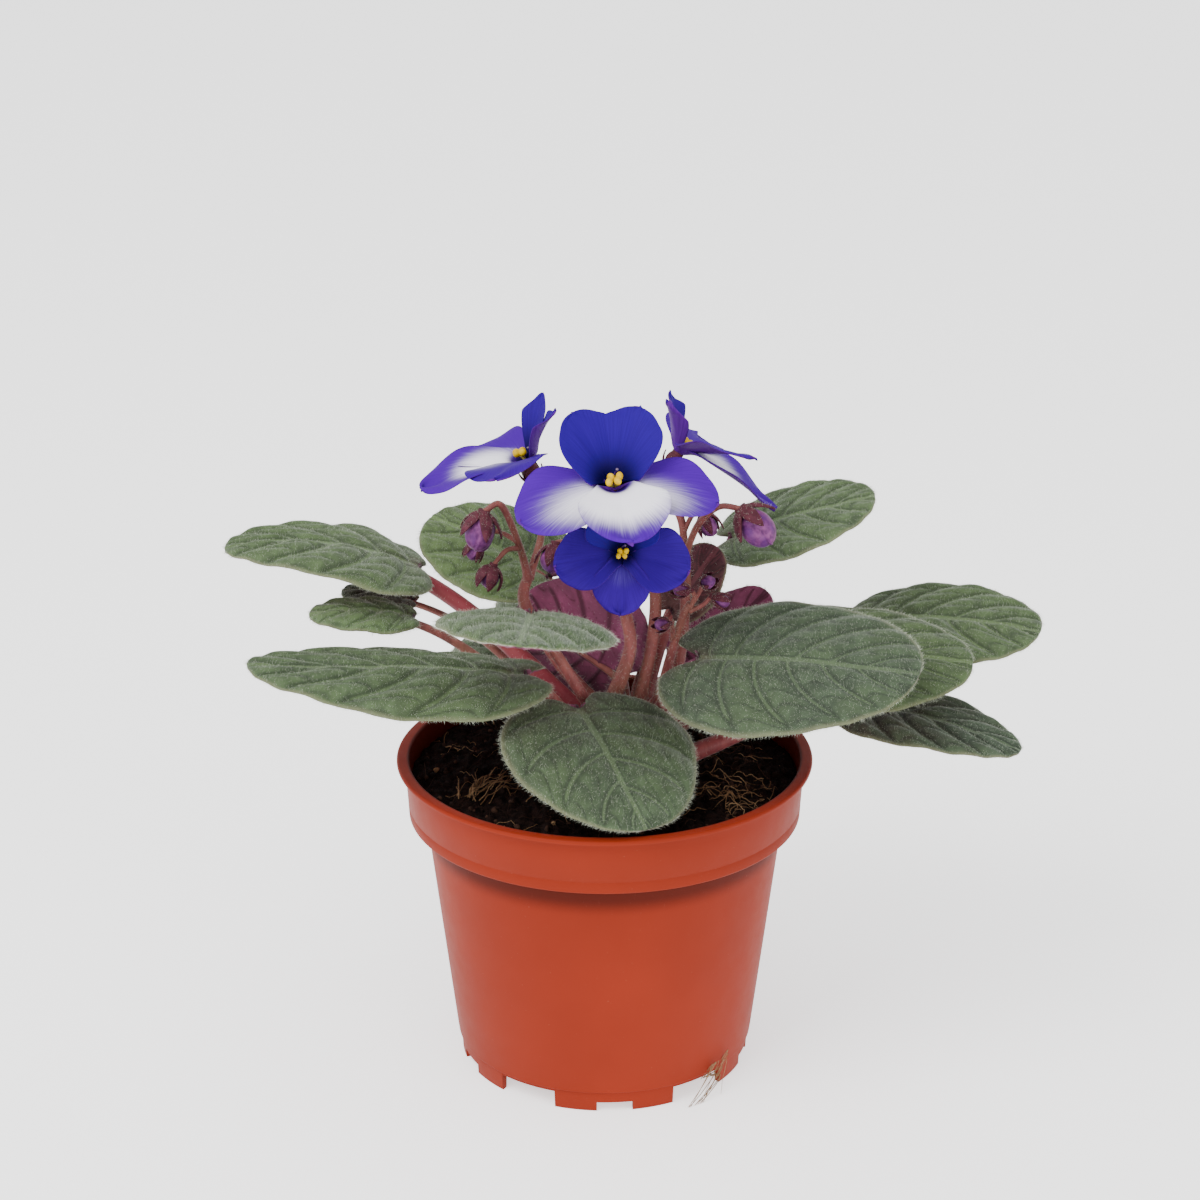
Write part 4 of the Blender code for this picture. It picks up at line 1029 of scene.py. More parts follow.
def make_fibres(settings, looks):
    """Root and coir fibres: thin curved threads that lie on the peat, most dark and some tan."""
    draw = np.random.default_rng(11)
    parts = []

    def thread(start, heading, long, rise, bow, radius, tan):
        ahead, side = pointing(heading, 0), pointing(heading + 90, 0)
        ends = [start, start + ahead * long * 0.35 + side * bow * long, start + ahead * long * 0.7 - side * bow * long]
        ends.append(start + ahead * long)
        line = bezier(ends, np.linspace(0, 1, 12))
        ground = soil_height(line[:, 0], line[:, 1])
        arch = rise * np.sin(np.linspace(0.15, math.pi - 0.1, 12))
        inside = np.hypot(line[:, 0], line[:, 1]) < SOIL_EDGE_RADIUS - 0.6
        line[:, 2] = ground + 0.1 + arch
        if inside.sum() < 5:
            return
        line = line[inside]
        parts.append(plain_tube(line, radius * np.linspace(1, 0.5, len(line)), 5, (tan, draw.uniform(0, 1), 0, 0)))

    for start in soil_place(draw, settings.fibres):
        tan = 1.0 if draw.uniform() < 0.3 else 0.0
        long, heading, rise = draw.uniform(3, 12), draw.uniform(0, 360), draw.uniform(0, 1.3)
        thread(start, heading, long, rise, draw.uniform(-0.4, 0.4), draw.uniform(0.06, 0.16), tan)
    for tuft in TUFTS:
        for _ in range(tuft.count):
            start = np.array(tuft.middle) + draw.normal(0, 1, 3) * np.array(tuft.spread)
            heading, long, rise, bow = (draw.uniform(*span) for span in tuft[3:7])
            thread(start, heading, long, rise, bow, tuft.radius, 1.0)
    return make_object("peat_fibres", parts, [looks["crumb"]])


def make_foot_roots(looks):
    """A few thin roots that have grown out through a notch of the foot and curl down to the ground."""
    draw = np.random.default_rng(13)
    parts = []
    for _ in range(11):
        bearing = draw.normal(-44, 2.5)
        bend = draw.uniform(4, 16)
        top = draw.uniform(3.5, 10.5)
        points = [around(bearing, 34.6, 3.2), around(bearing + 1, 37.2 + 0.1 * top, top)]
        points += [around(bearing - bend / 2, 38.6, 0.45 * top), around(bearing - bend, 39.4, 0.25)]
        line = through(points, 6)
        tone = (1.0, draw.uniform(0.5, 1), 0, 0)
        parts.append(plain_tube(line, draw.uniform(0.07, 0.13) * np.linspace(1, 0.6, len(line)), 5, tone))
    return make_object("foot_roots", parts, [looks["crumb"]])


def arc(centre, radius, start, end, steps=5):
    """Points of a round corner in the profile plane: (reach, height) along an arc between two angles."""
    angle = np.radians(np.linspace(start, end, steps))
    return [(centre[0] + radius * math.cos(a), centre[1] + radius * math.sin(a)) for a in angle]


def pot_profile():
    """The pot's wall as (reach, height) pairs, from the middle of the floor's top, up the inside and down outside."""
    top = POT_TOP
    collar_foot = top - COLLAR_HEIGHT
    under_lip = top - LIP_HEIGHT
    collar_top = RIM_RADIUS - LIP_OVERHANG
    inner = collar_top - WALL
    floor_top = FOOT_HEIGHT + FLOOR_THICKNESS
    line = [(BODY_FOOT_RADIUS - WALL - 1.5, floor_top), (BODY_FOOT_RADIUS - WALL + 0.1, floor_top + 1.4)]
    line += [(SHOULDER_RADIUS - WALL - 0.2, collar_foot - 1.2), (SHOULDER_RADIUS - WALL + 0.1, collar_foot + 0.5)]
    line += [(COLLAR_FOOT_RADIUS - WALL - 0.5, collar_foot + 1.2), (COLLAR_FOOT_RADIUS - WALL, collar_foot + 1.8)]
    line += [(inner - 0.1, top - 1.2)]
    line += arc((inner + 0.55, top - 0.6), 0.6, 175, 90)
    line += arc((RIM_RADIUS - 0.65, top - 0.65), 0.65, 90, -30, 7)
    line += arc((collar_top + 0.35, under_lip - 0.35), 0.35, 90, 180, 4)
    line += [(collar_top - 0.1, under_lip - 2.0)]
    groove = collar_foot + GROOVE_RISE
    slant = (collar_top - COLLAR_FOOT_RADIUS) / (under_lip - collar_foot)
    at = COLLAR_FOOT_RADIUS + slant * GROOVE_RISE
    line += [(at + 0.02, groove + 0.35), (at - 0.13, groove + 0.12)]
    line += [(at - 0.13, groove - 0.12), (at - 0.02, groove - 0.35)]
    line += arc((COLLAR_FOOT_RADIUS - 0.45, collar_foot + 0.5), 0.5, 5, -90, 6)
    line += arc((SHOULDER_RADIUS + 0.45, collar_foot - 0.45), 0.45, 90, 180, 5)
    line += [(SHOULDER_RADIUS - 0.04, collar_foot - 1.6)]
    line += [(BODY_FOOT_RADIUS + 0.25, FOOT_HEIGHT + 1.6), (BODY_FOOT_RADIUS + 0.05, FOOT_HEIGHT + 0.35)]
    line += arc((BODY_FOOT_RADIUS - 0.25, FOOT_HEIGHT + 0.25), 0.3, 0, -80, 4)
    line += [(FOOT_RADIUS, FOOT_HEIGHT - 0.3)]
    line += arc((FOOT_RADIUS - 0.5, 0.25), 0.25, 0, -90, 4)
    line += arc((FOOT_RADIUS - 1.6, 0.25), 0.25, -90, -180, 4)
    line += [(FOOT_RADIUS - 2.0, FOOT_HEIGHT - 1.0), (FOOT_RADIUS - 3.0, FOOT_HEIGHT)]
    line += [(PAD_RADIUS + 0.6, FOOT_HEIGHT), (PAD_RADIUS, FOOT_HEIGHT - 0.6), (PAD_RADIUS - 0.2, 0.0)]
    return np.array(line)


def cutter_box(width, height, bearing):
    """Corners of a box across the foot ring on this bearing, as a closed part."""
    turn = math.radians(bearing)
    ahead, side = np.array([math.cos(turn), math.sin(turn), 0]), np.array([-math.sin(turn), math.cos(turn), 0])
    rings = []
    for z in (-1.0, height):
        corners = [(-3, -1), (3, -1), (3, 1), (-3, 1)]
        rings.append([ahead * (FOOT_RADIUS + a) + side * b * width / 2 + np.array([0, 0, z]) for a, b in corners])
    return outward(closed_part(np.array(rings)))


def make_pot(settings, looks):
    """The wall's profile turned about the pot's axis, with the notches of the foot and the drain holes cut out."""
    profile = pot_profile()
    turn = np.linspace(0, 2 * math.pi, 288, endpoint=False)
    reach, height = profile[:, 0, None], profile[:, 1, None]
    rings = np.stack([reach * np.cos(turn), reach * np.sin(turn), height + 0 * turn], axis=-1)
    poles = (np.array([0, 0, FOOT_HEIGHT + FLOOR_THICKNESS]), np.array([0.0, 0.0, 0.0]))
    wall = make_object("pot", [outward(closed_part(rings, None, None, 0, poles))], [looks["terracotta"]])
    spacing = 360.0 / NOTCH_COUNT
    cuts = []
    for i in range(NOTCH_COUNT):
        bearing = NOTCH_FIRST_BEARING + spacing * i
        cuts.append(cutter_box(*LARGE_NOTCH, bearing))
        cuts.append(cutter_box(*SMALL_NOTCH, bearing + spacing / 2))
        middle = around(bearing, DRAIN_REACH, 0)
        line = middle + np.array([[0, 0, 2.0], [0, 0, 5.0], [0, 0, 9.0]])
        cuts.append(outward(closed_part(tube_rings(line, DRAIN_RADIUS, 32))))
    cutter = make_object("pot_cutter", cuts, [looks["terracotta"]])
    cut = wall.modifiers.new("notches and drains", "BOOLEAN")
    cut.operation = "DIFFERENCE"
    cut.solver = "EXACT"
    cut.use_self = True
    cut.object = cutter
    finished = bpy.data.meshes.new_from_object(wall.evaluated_get(bpy.context.evaluated_depsgraph_get()))
    wall.modifiers.clear()
    wall.data = finished
    finished.name = "pot"
    finished.set_sharp_from_angle(angle=math.radians(34))
    bpy.data.objects.remove(cutter, do_unlink=True)
    return settle(wall, "terracotta_plastic", "pot")


# ---------------------------------------------------------------- finishes


class Nodes:
    """Adds nodes to one material and links them, so that a finish reads from top to bottom."""

    def __init__(self, name):
        self.material = bpy.data.materials.new(name)
        self.material.use_nodes = True
        self.tree = self.material.node_tree
        self.shader = self.tree.nodes["Principled BSDF"]

    def add(self, kind, **inputs):
        node = self.tree.nodes.new(kind)
        for key, value in inputs.items():
            if key in node.bl_rna.properties:
                setattr(node, key, value)
            else:
                self.feed(node.inputs[key.replace("_", " ")], value)
        return node

    def feed(self, socket, value):
        if isinstance(value, bpy.types.NodeSocket):
            self.tree.links.new(value, socket)
        else:
            socket.default_value = value

    def math(self, operation, *values, clamp=False):
        node = self.add("ShaderNodeMath", operation=operation, use_clamp=clamp)
        for socket, value in zip(node.inputs, values):
            self.feed(socket, value)
        return node.outputs[0]

    def between(self, share, low, high):
        """The colour this share of the way from low to high."""
        node = self.add("ShaderNodeMix", data_type="RGBA")
        self.feed(node.inputs[0], share)
        self.feed(node.inputs[6], low if isinstance(low, bpy.types.NodeSocket) else (*low, 1.0))
        self.feed(node.inputs[7], high if isinstance(high, bpy.types.NodeSocket) else (*high, 1.0))
        return node.outputs[2]

    def ramp(self, value, low, high):
        """0 below low and 1 above high."""
        node = self.add("ShaderNodeMapRange", interpolation_type="SMOOTHSTEP")
        for index, item in enumerate((value, low, high, 0.0, 1.0)):
            self.feed(node.inputs[index], item)
        return node.outputs[0]

    def noise(self, scale, detail=3.0, roughness=0.6, stretch=(1, 1, 1), source="Object"):
        """Noise over the object's own coordinates in metres, or over its UV map."""
        if source == "UV":
            place = self.add("ShaderNodeUVMap", uv_map="along").outputs[0]
        else:
            place = self.add("ShaderNodeTexCoord").outputs["Object"]
        mapping = self.add("ShaderNodeMapping")
        self.feed(mapping.inputs["Vector"], place)
        mapping.inputs["Scale"].default_value = stretch
        node = self.add("ShaderNodeTexNoise")
        self.feed(node.inputs["Vector"], mapping.outputs[0])
        node.inputs["Scale"].default_value = scale
        node.inputs["Detail"].default_value = detail
        node.inputs["Roughness"].default_value = roughness
        return node.outputs["Fac"]

    def spots(self, scale, detail, roughness, span, strength=None, stretch=(1, 1, 1)):
        """Blotches of noise: 0 where it is under the span and 1 over it, times the strength if there is one."""
        blotch = self.ramp(self.noise(scale, detail, roughness, stretch), *span)
        return blotch if strength is None else self.math("MULTIPLY", blotch, strength)

    def shades(self, share, colour, dark, light):
        """One colour made darker and lighter by these factors, and the share between the two."""
        return self.between(share, scaled(colour, dark), scaled(colour, light))

    def tone(self):
        """The four channels of the attribute tone."""
        node = self.add("ShaderNodeAttribute", attribute_name="tone")
        split = self.add("ShaderNodeSeparateColor")
        self.feed(split.inputs[0], node.outputs["Color"])
        return split.outputs[0], split.outputs[1], split.outputs[2], node.outputs["Alpha"]

    def bump(self, height, strength, distance):
        node = self.add("ShaderNodeBump")
        node.inputs["Strength"].default_value = strength
        node.inputs["Distance"].default_value = distance
        self.feed(node.inputs["Height"], height)
        self.feed(self.shader.inputs["Normal"], node.outputs[0])

    def finish(self, colour, roughness, **constants):
        """The material, with this colour and roughness on its shader and the constants on the sockets they name."""
        plain = not isinstance(colour, bpy.types.NodeSocket)
        self.feed(self.shader.inputs["Base Color"], (*colour, 1.0) if plain else colour)
        self.feed(self.shader.inputs["Roughness"], roughness)
        for key, value in constants.items():
            self.shader.inputs[key.replace("_", " ")].default_value = value
        return self.material


def scaled(colour, amount):
    """The colour made darker or lighter, with no channel over 1."""
    return tuple(min(1.0, c * amount) for c in colour)


def mixed(low, high, share):
    """The plain colour this share of the way from low to high."""
    return tuple(a + (b - a) * share for a, b in zip(low, high))


FINE_BUMP = 0.0002
# How deep, in metres, the finest unevenness of stalks, sepals, petals and buds is.


def leaf_finish(name, coat, settings):
    """Velvety green, with painted shade along each side of the veins, paler on them and at the margin, red near the
    petiole, plum below.
    """
    n = Nodes(f"{name}_green")
    vein, edge, red, under = n.tone()
    green = scaled(mixed(settings.leaf_green, settings.leaf_grey, coat.grey), coat.shade)
    green = mixed(green, settings.leaf_wine, coat.plum)
    colour = n.shades(n.spots(330, 4, 0.62, (0.36, 0.66)), green, 0.72, 1.3)
    patch = scaled(mixed(green, settings.leaf_green, 0.5), 1.15)
    colour = n.between(n.spots(75, 2, 0.5, (0.4, 0.7), 0.35), colour, patch)
    # Painted shade: a dark band in the hollows on each side of a vein.
    vein_hollow_shade = n.math("MULTIPLY", n.ramp(vein, 0.08, 0.34), n.math("SUBTRACT", 1.0, n.ramp(vein, 0.40, 0.60)))
    colour = n.between(n.math("MULTIPLY", vein_hollow_shade, 0.62), colour, scaled(green, 0.34))
    pale = mixed(scaled(green, 2.2), (0.16, 0.21, 0.10), 0.35 * (1 - coat.plum))
    colour = n.between(n.math("MULTIPLY", n.ramp(vein, 0.44, 0.76), 0.42), colour, pale)
    speck = mixed((0.22, 0.26, 0.20), green, coat.plum)
    colour = n.between(n.spots(2100, 2, 0.7, (0.58, 0.74), 0.30), colour, speck)
    blush = n.math("MULTIPLY", red, n.spots(260, 3, 0.6, (0.15, 0.75)), clamp=True)
    colour = n.between(blush, colour, (0.085, 0.034, 0.032))
    colour = n.between(n.math("MULTIPLY", edge, 0.5), colour, (0.20, 0.20, 0.11))
    plum = n.shades(n.spots(160, 3, 0.6, (0.3, 0.75)), settings.leaf_plum, 0.75, 1.35)
    plum = n.between(n.math("MULTIPLY", n.ramp(vein, 0.14, 0.52), 0.85), plum, settings.leaf_plum_vein)
    colour = n.between(n.ramp(under, 0.3, 0.7), colour, plum)
    n.bump(n.math("ADD", n.noise(900, 3, 0.7), n.math("MULTIPLY", n.noise(2600, 2, 0.6), 0.6)), 0.6, 0.00035)
    velvet = dict(Sheen_Weight=0.22, Sheen_Roughness=0.45, Sheen_Tint=(0.80, 0.88, 0.78, 1.0))
    return n.finish(colour, 0.68, Specular_IOR_Level=0.3, **velvet)


def hair_finish():
    """Pale, greyish green hairs."""
    return Nodes("plant_hair").finish((0.56, 0.60, 0.48), 0.5, Specular_IOR_Level=0.4)


def stalk_finish(settings):
    """Brownish pink, streaked along the stem, redder by the tone's second channel."""
    n = Nodes("stalk_pink")
    _, red, _, _ = n.tone()
    base = n.shades(n.spots(420, 4, 0.65, (0.3, 0.72), None, (1, 1, 0.22)), settings.stalk_colour, 0.62, 1.45)
    base = n.between(n.spots(90, 2, 0.5, (0.42, 0.7), 0.4), base, (0.19, 0.11, 0.055))
    base = n.between(n.math("MULTIPLY", red, 0.9, clamp=True), base, (0.185, 0.014, 0.028))
    n.bump(n.noise(1500, 3, 0.6, (1, 1, 0.4)), 0.35, FINE_BUMP)
    return n.finish(base, 0.5, Sheen_Weight=0.1, Sheen_Roughness=0.5, Specular_IOR_Level=0.25)


def sepal_finish():
    """Reddish brown sepals, paler towards the base and dark at the tip."""
    n = Nodes("sepal_brown")
    along, _, _, _ = n.tone()
    base = n.between(n.spots(700, 3, 0.6, (0.3, 0.7)), (0.038, 0.005, 0.013), (0.092, 0.019, 0.033))
    foot = n.math("MULTIPLY", n.math("SUBTRACT", 1.0, along), 0.35, clamp=True)
    base = n.between(foot, base, (0.100, 0.030, 0.032))
    n.bump(n.noise(1400, 3, 0.6), 0.4, FINE_BUMP)
    return n.finish(base, 0.62, Specular_IOR_Level=0.15)


def petal_finish(settings):
    """Violet with a white heart that fades out in fine streaks, deeper on dark lobes and navy in the throat."""
    n = Nodes("petal_violet")
    white, dark, throat, under = n.tone()
    streak = n.noise(1.0, 4, 0.65, (26, 1.6, 1), "UV")
    fine = n.noise(1.0, 3, 0.7, (60, 2.6, 1), "UV")
    streaks = n.ramp(streak, 0.3, 0.7)
    violet = n.shades(streaks, settings.violet, 0.90, 1.08)
    deep = n.shades(streaks, settings.deep_violet, 0.82, 1.2)
    colour = n.between(dark, violet, deep)
    ragged = n.math("ADD", white, n.math("MULTIPLY", n.math("SUBTRACT", streak, 0.5), 0.42))
    ragged = n.math("ADD", ragged, n.math("MULTIPLY", n.math("SUBTRACT", fine, 0.5), 0.22))
    share = n.math("MULTIPLY", n.ramp(ragged, 0.0, 0.95), n.ramp(white, 0.0, 0.18))
    colour = n.between(n.math("POWER", share, 2.1), colour, settings.petal_white)
    colour = n.between(n.math("MULTIPLY", n.ramp(throat, 0.05, 0.9), 0.95), colour, (0.003, 0.0, 0.045))
    back = n.between(streaks, (0.060, 0.004, 0.17), (0.105, 0.012, 0.27))
    colour = n.between(n.ramp(under, 0.4, 0.6), colour, back)
    n.bump(n.math("ADD", streak, n.math("MULTIPLY", fine, 0.6)), 0.22, FINE_BUMP)
    return n.finish(colour, 0.6, Specular_IOR_Level=0.06)


def bud_finish():
    """Mauve folded petals with darker, bluer streaks."""
    n = Nodes("bud_mauve")
    base = n.between(n.spots(620, 3, 0.6, (0.3, 0.7)), (0.075, 0.011, 0.080), (0.205, 0.054, 0.180))
    base = n.between(n.spots(260, 2, 0.5, (0.45, 0.7), 0.6), base, (0.060, 0.010, 0.130))
    n.bump(n.noise(1300, 3, 0.6), 0.3, FINE_BUMP)
    return n.finish(base, 0.5, Sheen_Weight=0.08, Sheen_Roughness=0.4, Specular_IOR_Level=0.2)


def anther_finish():
    """Egg-yolk yellow in two tones, and paler on the filaments."""
    n = Nodes("anther_yellow")
    pale, _, _, _ = n.tone()
    base = n.between(n.spots(900, 3, 0.6, (0.35, 0.7)), (0.56, 0.33, 0.0), (0.70, 0.47, 0.0))
    base = n.between(pale, base, (0.45, 0.36, 0.08))
    n.bump(n.noise(2600, 2, 0.6), 0.3, 0.0001)
    return n.finish(base, 0.5, Specular_IOR_Level=0.12)


def pistil_finish():
    """Pale at the foot of the style, purple towards its end, with a greyer stigma."""
    n = Nodes("pistil_purple")
    along, knob, _, _ = n.tone()
    base = n.between(n.ramp(along, 0.2, 0.8), (0.10, 0.05, 0.16), (0.030, 0.002, 0.10))
    base = n.between(n.math("MULTIPLY", knob, 0.6), base, (0.20, 0.14, 0.18))
    return n.finish(base, 0.45)


def peat_finish(settings):
    """Damp peat: nearly black in some patches and brown in others, with pale specks and a grainy surface."""
    n = Nodes("peat")
    base = n.shades(n.spots(520, 5, 0.7, (0.38, 0.66)), settings.peat_colour, 0.35, 2.2)
    base = n.between(n.spots(1700, 3, 0.7, (0.60, 0.72), 0.7), base, (0.060, 0.032, 0.018))
    n.bump(n.math("ADD", n.noise(800, 5, 0.75), n.noise(2500, 3, 0.7)), 1.0, 0.0009)
    return n.finish(base, 0.9, Specular_IOR_Level=0.06)


def crumb_finish(settings):
    """Dark crumbs and fibres, or tan ones where the tone's first channel is 1."""
    n = Nodes("peat_crumb")
    tan, pick, _, _ = n.tone()
    dark = n.between(pick, scaled(settings.peat_colour, 0.6), (0.045, 0.021, 0.013))
    light = n.between(pick, (0.13, 0.068, 0.030), (0.30, 0.19, 0.10))
    base = n.between(tan, dark, light)
    base = n.between(n.spots(1200, 3, 0.6, (0.45, 0.7), 0.4), base, scaled(settings.peat_colour, 0.7))
    n.bump(n.noise(2200, 3, 0.7), 0.6, 0.0003)
    return n.finish(base, 0.85, Specular_IOR_Level=0.1)


def terracotta_finish(settings):
    """Moulded plastic: even colour with a faint cloud, fine scuffs, a little dust, and a slight satin gloss.

    It is a little darker towards the top, and darkened inside the collar by painted shade.
    """
    n = Nodes("terracotta_plastic")
    base = n.shades(n.spots(22, 3, 0.5, (0.3, 0.75)), settings.terracotta, 0.90, 1.08)
    split = n.add("ShaderNodeSeparateXYZ")
    n.feed(split.inputs[0], n.add("ShaderNodeTexCoord").outputs["Object"])
    x, y, z = split.outputs
    base = n.between(n.math("MULTIPLY", n.ramp(z, 0.03, 0.080), 0.22), base, scaled(settings.terracotta, 0.72))
    far = n.math("SQRT", n.math("ADD", n.math("POWER", x, 2.0), n.math("POWER", y, 2.0)))
    wall = n.math("MULTIPLY_ADD", z, INSIDE_SLANT, INSIDE_REACH * MM)
    within = n.ramp(n.math("SUBTRACT", wall, far), -0.0004, 0.0004)
    inside = n.math("MULTIPLY", within, n.ramp(z, 0.055, 0.060))
    # Painted shade on the collar's inner face, which is the same plastic as the outside.
    base = n.between(n.math("MULTIPLY", inside, 0.8), base, scaled(settings.terracotta, 0.22))
    base = n.between(n.spots(900, 4, 0.7, (0.66, 0.80), 0.16, (1, 1, 0.18)), base, (0.36, 0.09, 0.06))
    base = n.between(n.spots(2400, 2, 0.5, (0.74, 0.80), 0.35), base, (0.42, 0.20, 0.15))
    rough = n.math("ADD", n.math("MULTIPLY", n.noise(240, 4, 0.6), 0.16), settings.roughness - 0.08)
    n.bump(n.math("ADD", n.noise(1600, 3, 0.6), n.math("MULTIPLY", n.noise(180, 2, 0.5), 0.5)), 0.12, 0.00012)
    return n.finish(base, rough, Specular_IOR_Level=0.08)


def floor_finish(settings):
    """Pale and matte, with a little light of its own, like a sheet lit from below."""
    colour = tuple(settings.floor_colour)
    glow = dict(Emission_Color=(*colour, 1.0), Emission_Strength=settings.floor_glow)
    return Nodes("pale_floor").finish(colour, 0.9, Specular_IOR_Level=0.1, **glow)


# ---------------------------------------------------------------- settings


def colour_property(label, words, value):
    return bpy.props.FloatVectorProperty(
        name=label, description=words, default=value, size=3, min=0.0, max=1.0, subtype="COLOR"
    )


class VioletLeafSettings(bpy.types.PropertyGroup):
    """Sizes and colours of the leaves."""

    blade_thickness: bpy.props.FloatProperty(
        name="Blade thickness",
        description="Thickness of a blade at its middle",
        default=1.25 * MM,
        min=0.5 * MM,
        unit="LENGTH",
    )
    hair_length: bpy.props.FloatProperty(
        name="Hair length", description="Mean length of a leaf's hairs", default=0.65 * MM, unit="LENGTH"
    )
    hair_density: bpy.props.FloatProperty(
        name="Hair density", description="Hairs on each square millimetre of a blade's upper side", default=3.0, min=0.1
    )
    leaf_green: colour_property("Young green", "Colour of the freshest blades", (0.060, 0.098, 0.026))
    leaf_grey: colour_property("Grey green", "Colour of the older blades", (0.036, 0.056, 0.032))
    leaf_plum: colour_property("Plum", "Colour of a blade's underside", (0.150, 0.028, 0.070))
    leaf_plum_vein: colour_property("Dark vein", "Colour of the veins below", (0.045, 0.002, 0.015))
    leaf_wine: colour_property("Wine", "Colour of the dark upper side of the youngest blade", (0.075, 0.009, 0.022))


class VioletStalkSettings(bpy.types.PropertyGroup):
    """Sizes and colours of the stalks and petioles."""

    hair_length: bpy.props.FloatProperty(
        name="Hair length", description="Mean length of the hairs on the stalks", default=1.0 * MM, unit="LENGTH"
    )
    stalk_colour: colour_property("Stalk", "Colour of stalks and petioles", (0.175, 0.056, 0.046))


class VioletFlowerSettings(bpy.types.PropertyGroup):
    """Sizes and colours of the flowers."""

    petal_thickness: bpy.props.FloatProperty(
        name="Petal thickness", description="Thickness of a lobe away from its margin", default=0.36 * MM, unit="LENGTH"
    )
    violet: colour_property("Violet", "Colour of a lobe's rim", (0.060, 0.0, 0.270))
    deep_violet: colour_property("Deep violet", "Colour of the dark lobes", (0.012, 0.0, 0.165))
    petal_white: colour_property("Heart", "Colour of a flower's heart", (0.900, 0.880, 0.960))


class VioletPotSettings(bpy.types.PropertyGroup):
    """Colour and gloss of the pot, and what lies on the potting mix."""

    terracotta: colour_property("Terracotta", "Colour of the plastic", (0.215, 0.0195, 0.0062))
    roughness: bpy.props.FloatProperty(
        name="Roughness", description="How matte the plastic is", default=0.52, min=0.05, max=1.0, subtype="FACTOR"
    )
    peat_colour: colour_property("Peat", "Colour of damp peat", (0.0085, 0.0042, 0.0034))
    crumbs: bpy.props.IntProperty(name="Crumbs", description="Loose crumbs on the peat", default=520, min=0)
    fibres: bpy.props.IntProperty(name="Fibres", description="Loose fibres on the peat", default=330, min=0)


class VioletStageSettings(bpy.types.PropertyGroup):
    """The camera, the lights and the floor."""

    camera_place: bpy.props.FloatVectorProperty(
        name="Camera", description="Where the camera stands", default=(-0.0011, -0.6798, 0.3799), unit="LENGTH"
    )
    camera_tilt: bpy.props.FloatProperty(
        name="Tilt", description="How far the camera looks down", default=math.radians(21.11), subtype="ANGLE"
    )
    lens: bpy.props.FloatProperty(name="Lens", description="Focal length", default=92.57, min=10.0, unit="CAMERA")
    key_power: bpy.props.FloatProperty(
        name="Key light", description="Power of the upper left light", default=13.0, min=0.0, unit="POWER"
    )
    fill_power: bpy.props.FloatProperty(
        name="Fill light", description="Power of the front right light", default=4.0, min=0.0, unit="POWER"
    )
    sky: bpy.props.FloatProperty(name="Sky", description="Strength of the even light from all round", default=1.25)
    floor_colour: colour_property("Floor", "Colour of the floor", (0.92, 0.92, 0.92))
    floor_glow: bpy.props.FloatProperty(name="Floor glow", description="The floor's own light", default=1.15)


# ---------------------------------------------------------------- operators


SHARED = {}


def looks_of(scene):
    """The finishes, made once and shared by the operators."""
    if not SHARED:
        leaves, stalks = scene.violet_leaves, scene.violet_stalks
        flowers, pot = scene.violet_flowers, scene.violet_pot
        SHARED.update(
            leaf=lambda name, coat: leaf_finish(name, coat, leaves),
            hair=hair_finish(),
            stalk=stalk_finish(stalks),
            sepal=sepal_finish(),
            petal=petal_finish(flowers),
            bud=bud_finish(),
            anther=anther_finish(),
            pistil=pistil_finish(),
            peat=peat_finish(pot),
            crumb=crumb_finish(pot),
            terracotta=terracotta_finish(pot),
        )
    return SHARED


class VIOLET_OT_pot(bpy.types.Operator):
    """Add the nursery pot"""

    bl_idname = "violet.pot"
    bl_label = "Pot"

    def execute(self, context):
        make_pot(context.scene.violet_pot, looks_of(context.scene))
        return {"FINISHED"}


class VIOLET_OT_potting_mix(bpy.types.Operator):
    """Add the potting mix with its crumbs and fibres"""

    bl_idname = "violet.potting_mix"
    bl_label = "Potting mix"

    def execute(self, context):
        make_soil(context.scene.violet_pot, looks_of(context.scene))
        return {"FINISHED"}


class VIOLET_OT_crown(bpy.types.Operator):
    """Give the short stem under the leaves its finish"""

    bl_idname = "violet.crown"
    bl_label = "Crown"

    def execute(self, context):
        crown = frame["nodes"]["crown"]
        crown.data.materials.clear()
        crown.data.materials.append(looks_of(context.scene)["stalk"])
        return {"FINISHED"}


class VIOLET_OT_leaves(bpy.types.Operator):
    """Add every leaf: its blade, its petiole and its hairs"""

    bl_idname = "violet.leaves"
    bl_label = "Leaves"

    def execute(self, context):
        looks = looks_of(context.scene)
        for seed, (name, leaf) in enumerate(LEAVES.items()):
            make_leaf(name, leaf, COATS.get(name, Coat()), seed, context.scene.violet_leaves, looks)
        return {"FINISHED"}


class VIOLET_OT_stalks(bpy.types.Operator):
    """Add the flower stalks with their branches"""

    bl_idname = "violet.stalks"
    bl_label = "Stalks"

    def execute(self, context):
        looks = looks_of(context.scene)
        for seed, (name, branches) in enumerate(STALKS.items()):
            make_stalk(name, branches, seed, context.scene.violet_stalks, looks)
        return {"FINISHED"}


class VIOLET_OT_flowers(bpy.types.Operator):
    """Add the open flowers: corollas, anthers, pistils and sepals"""

    bl_idname = "violet.flowers"
    bl_label = "Flowers"

    def execute(self, context):
        looks = looks_of(context.scene)
        for full, flower in FLOWERS.items():
            name = full.removeprefix("flower_")
            make_corolla(name, flower, context.scene.violet_flowers, looks)
            make_anthers(name, flower, looks)
            make_pistil(name, flower, looks)
            make_flower_calyx(name, flower, looks)
        return {"FINISHED"}


class VIOLET_OT_buds(bpy.types.Operator):
    """Add the closed buds with their sepals"""

    bl_idname = "violet.buds"
    bl_label = "Buds"

    def execute(self, context):
        looks = looks_of(context.scene)
        for seed, (name, bud) in enumerate(BUDS.items()):
            make_bud(name, bud, seed, looks)
        return {"FINISHED"}


class VIOLET_OT_stage(bpy.types.Operator):
    """Add the camera, the soft lights and the pale floor"""

    bl_idname = "violet.stage"
    bl_label = "Stage"

    def execute(self, context):
        make_stage(context.scene, context.scene.violet_stage)
        return {"FINISHED"}


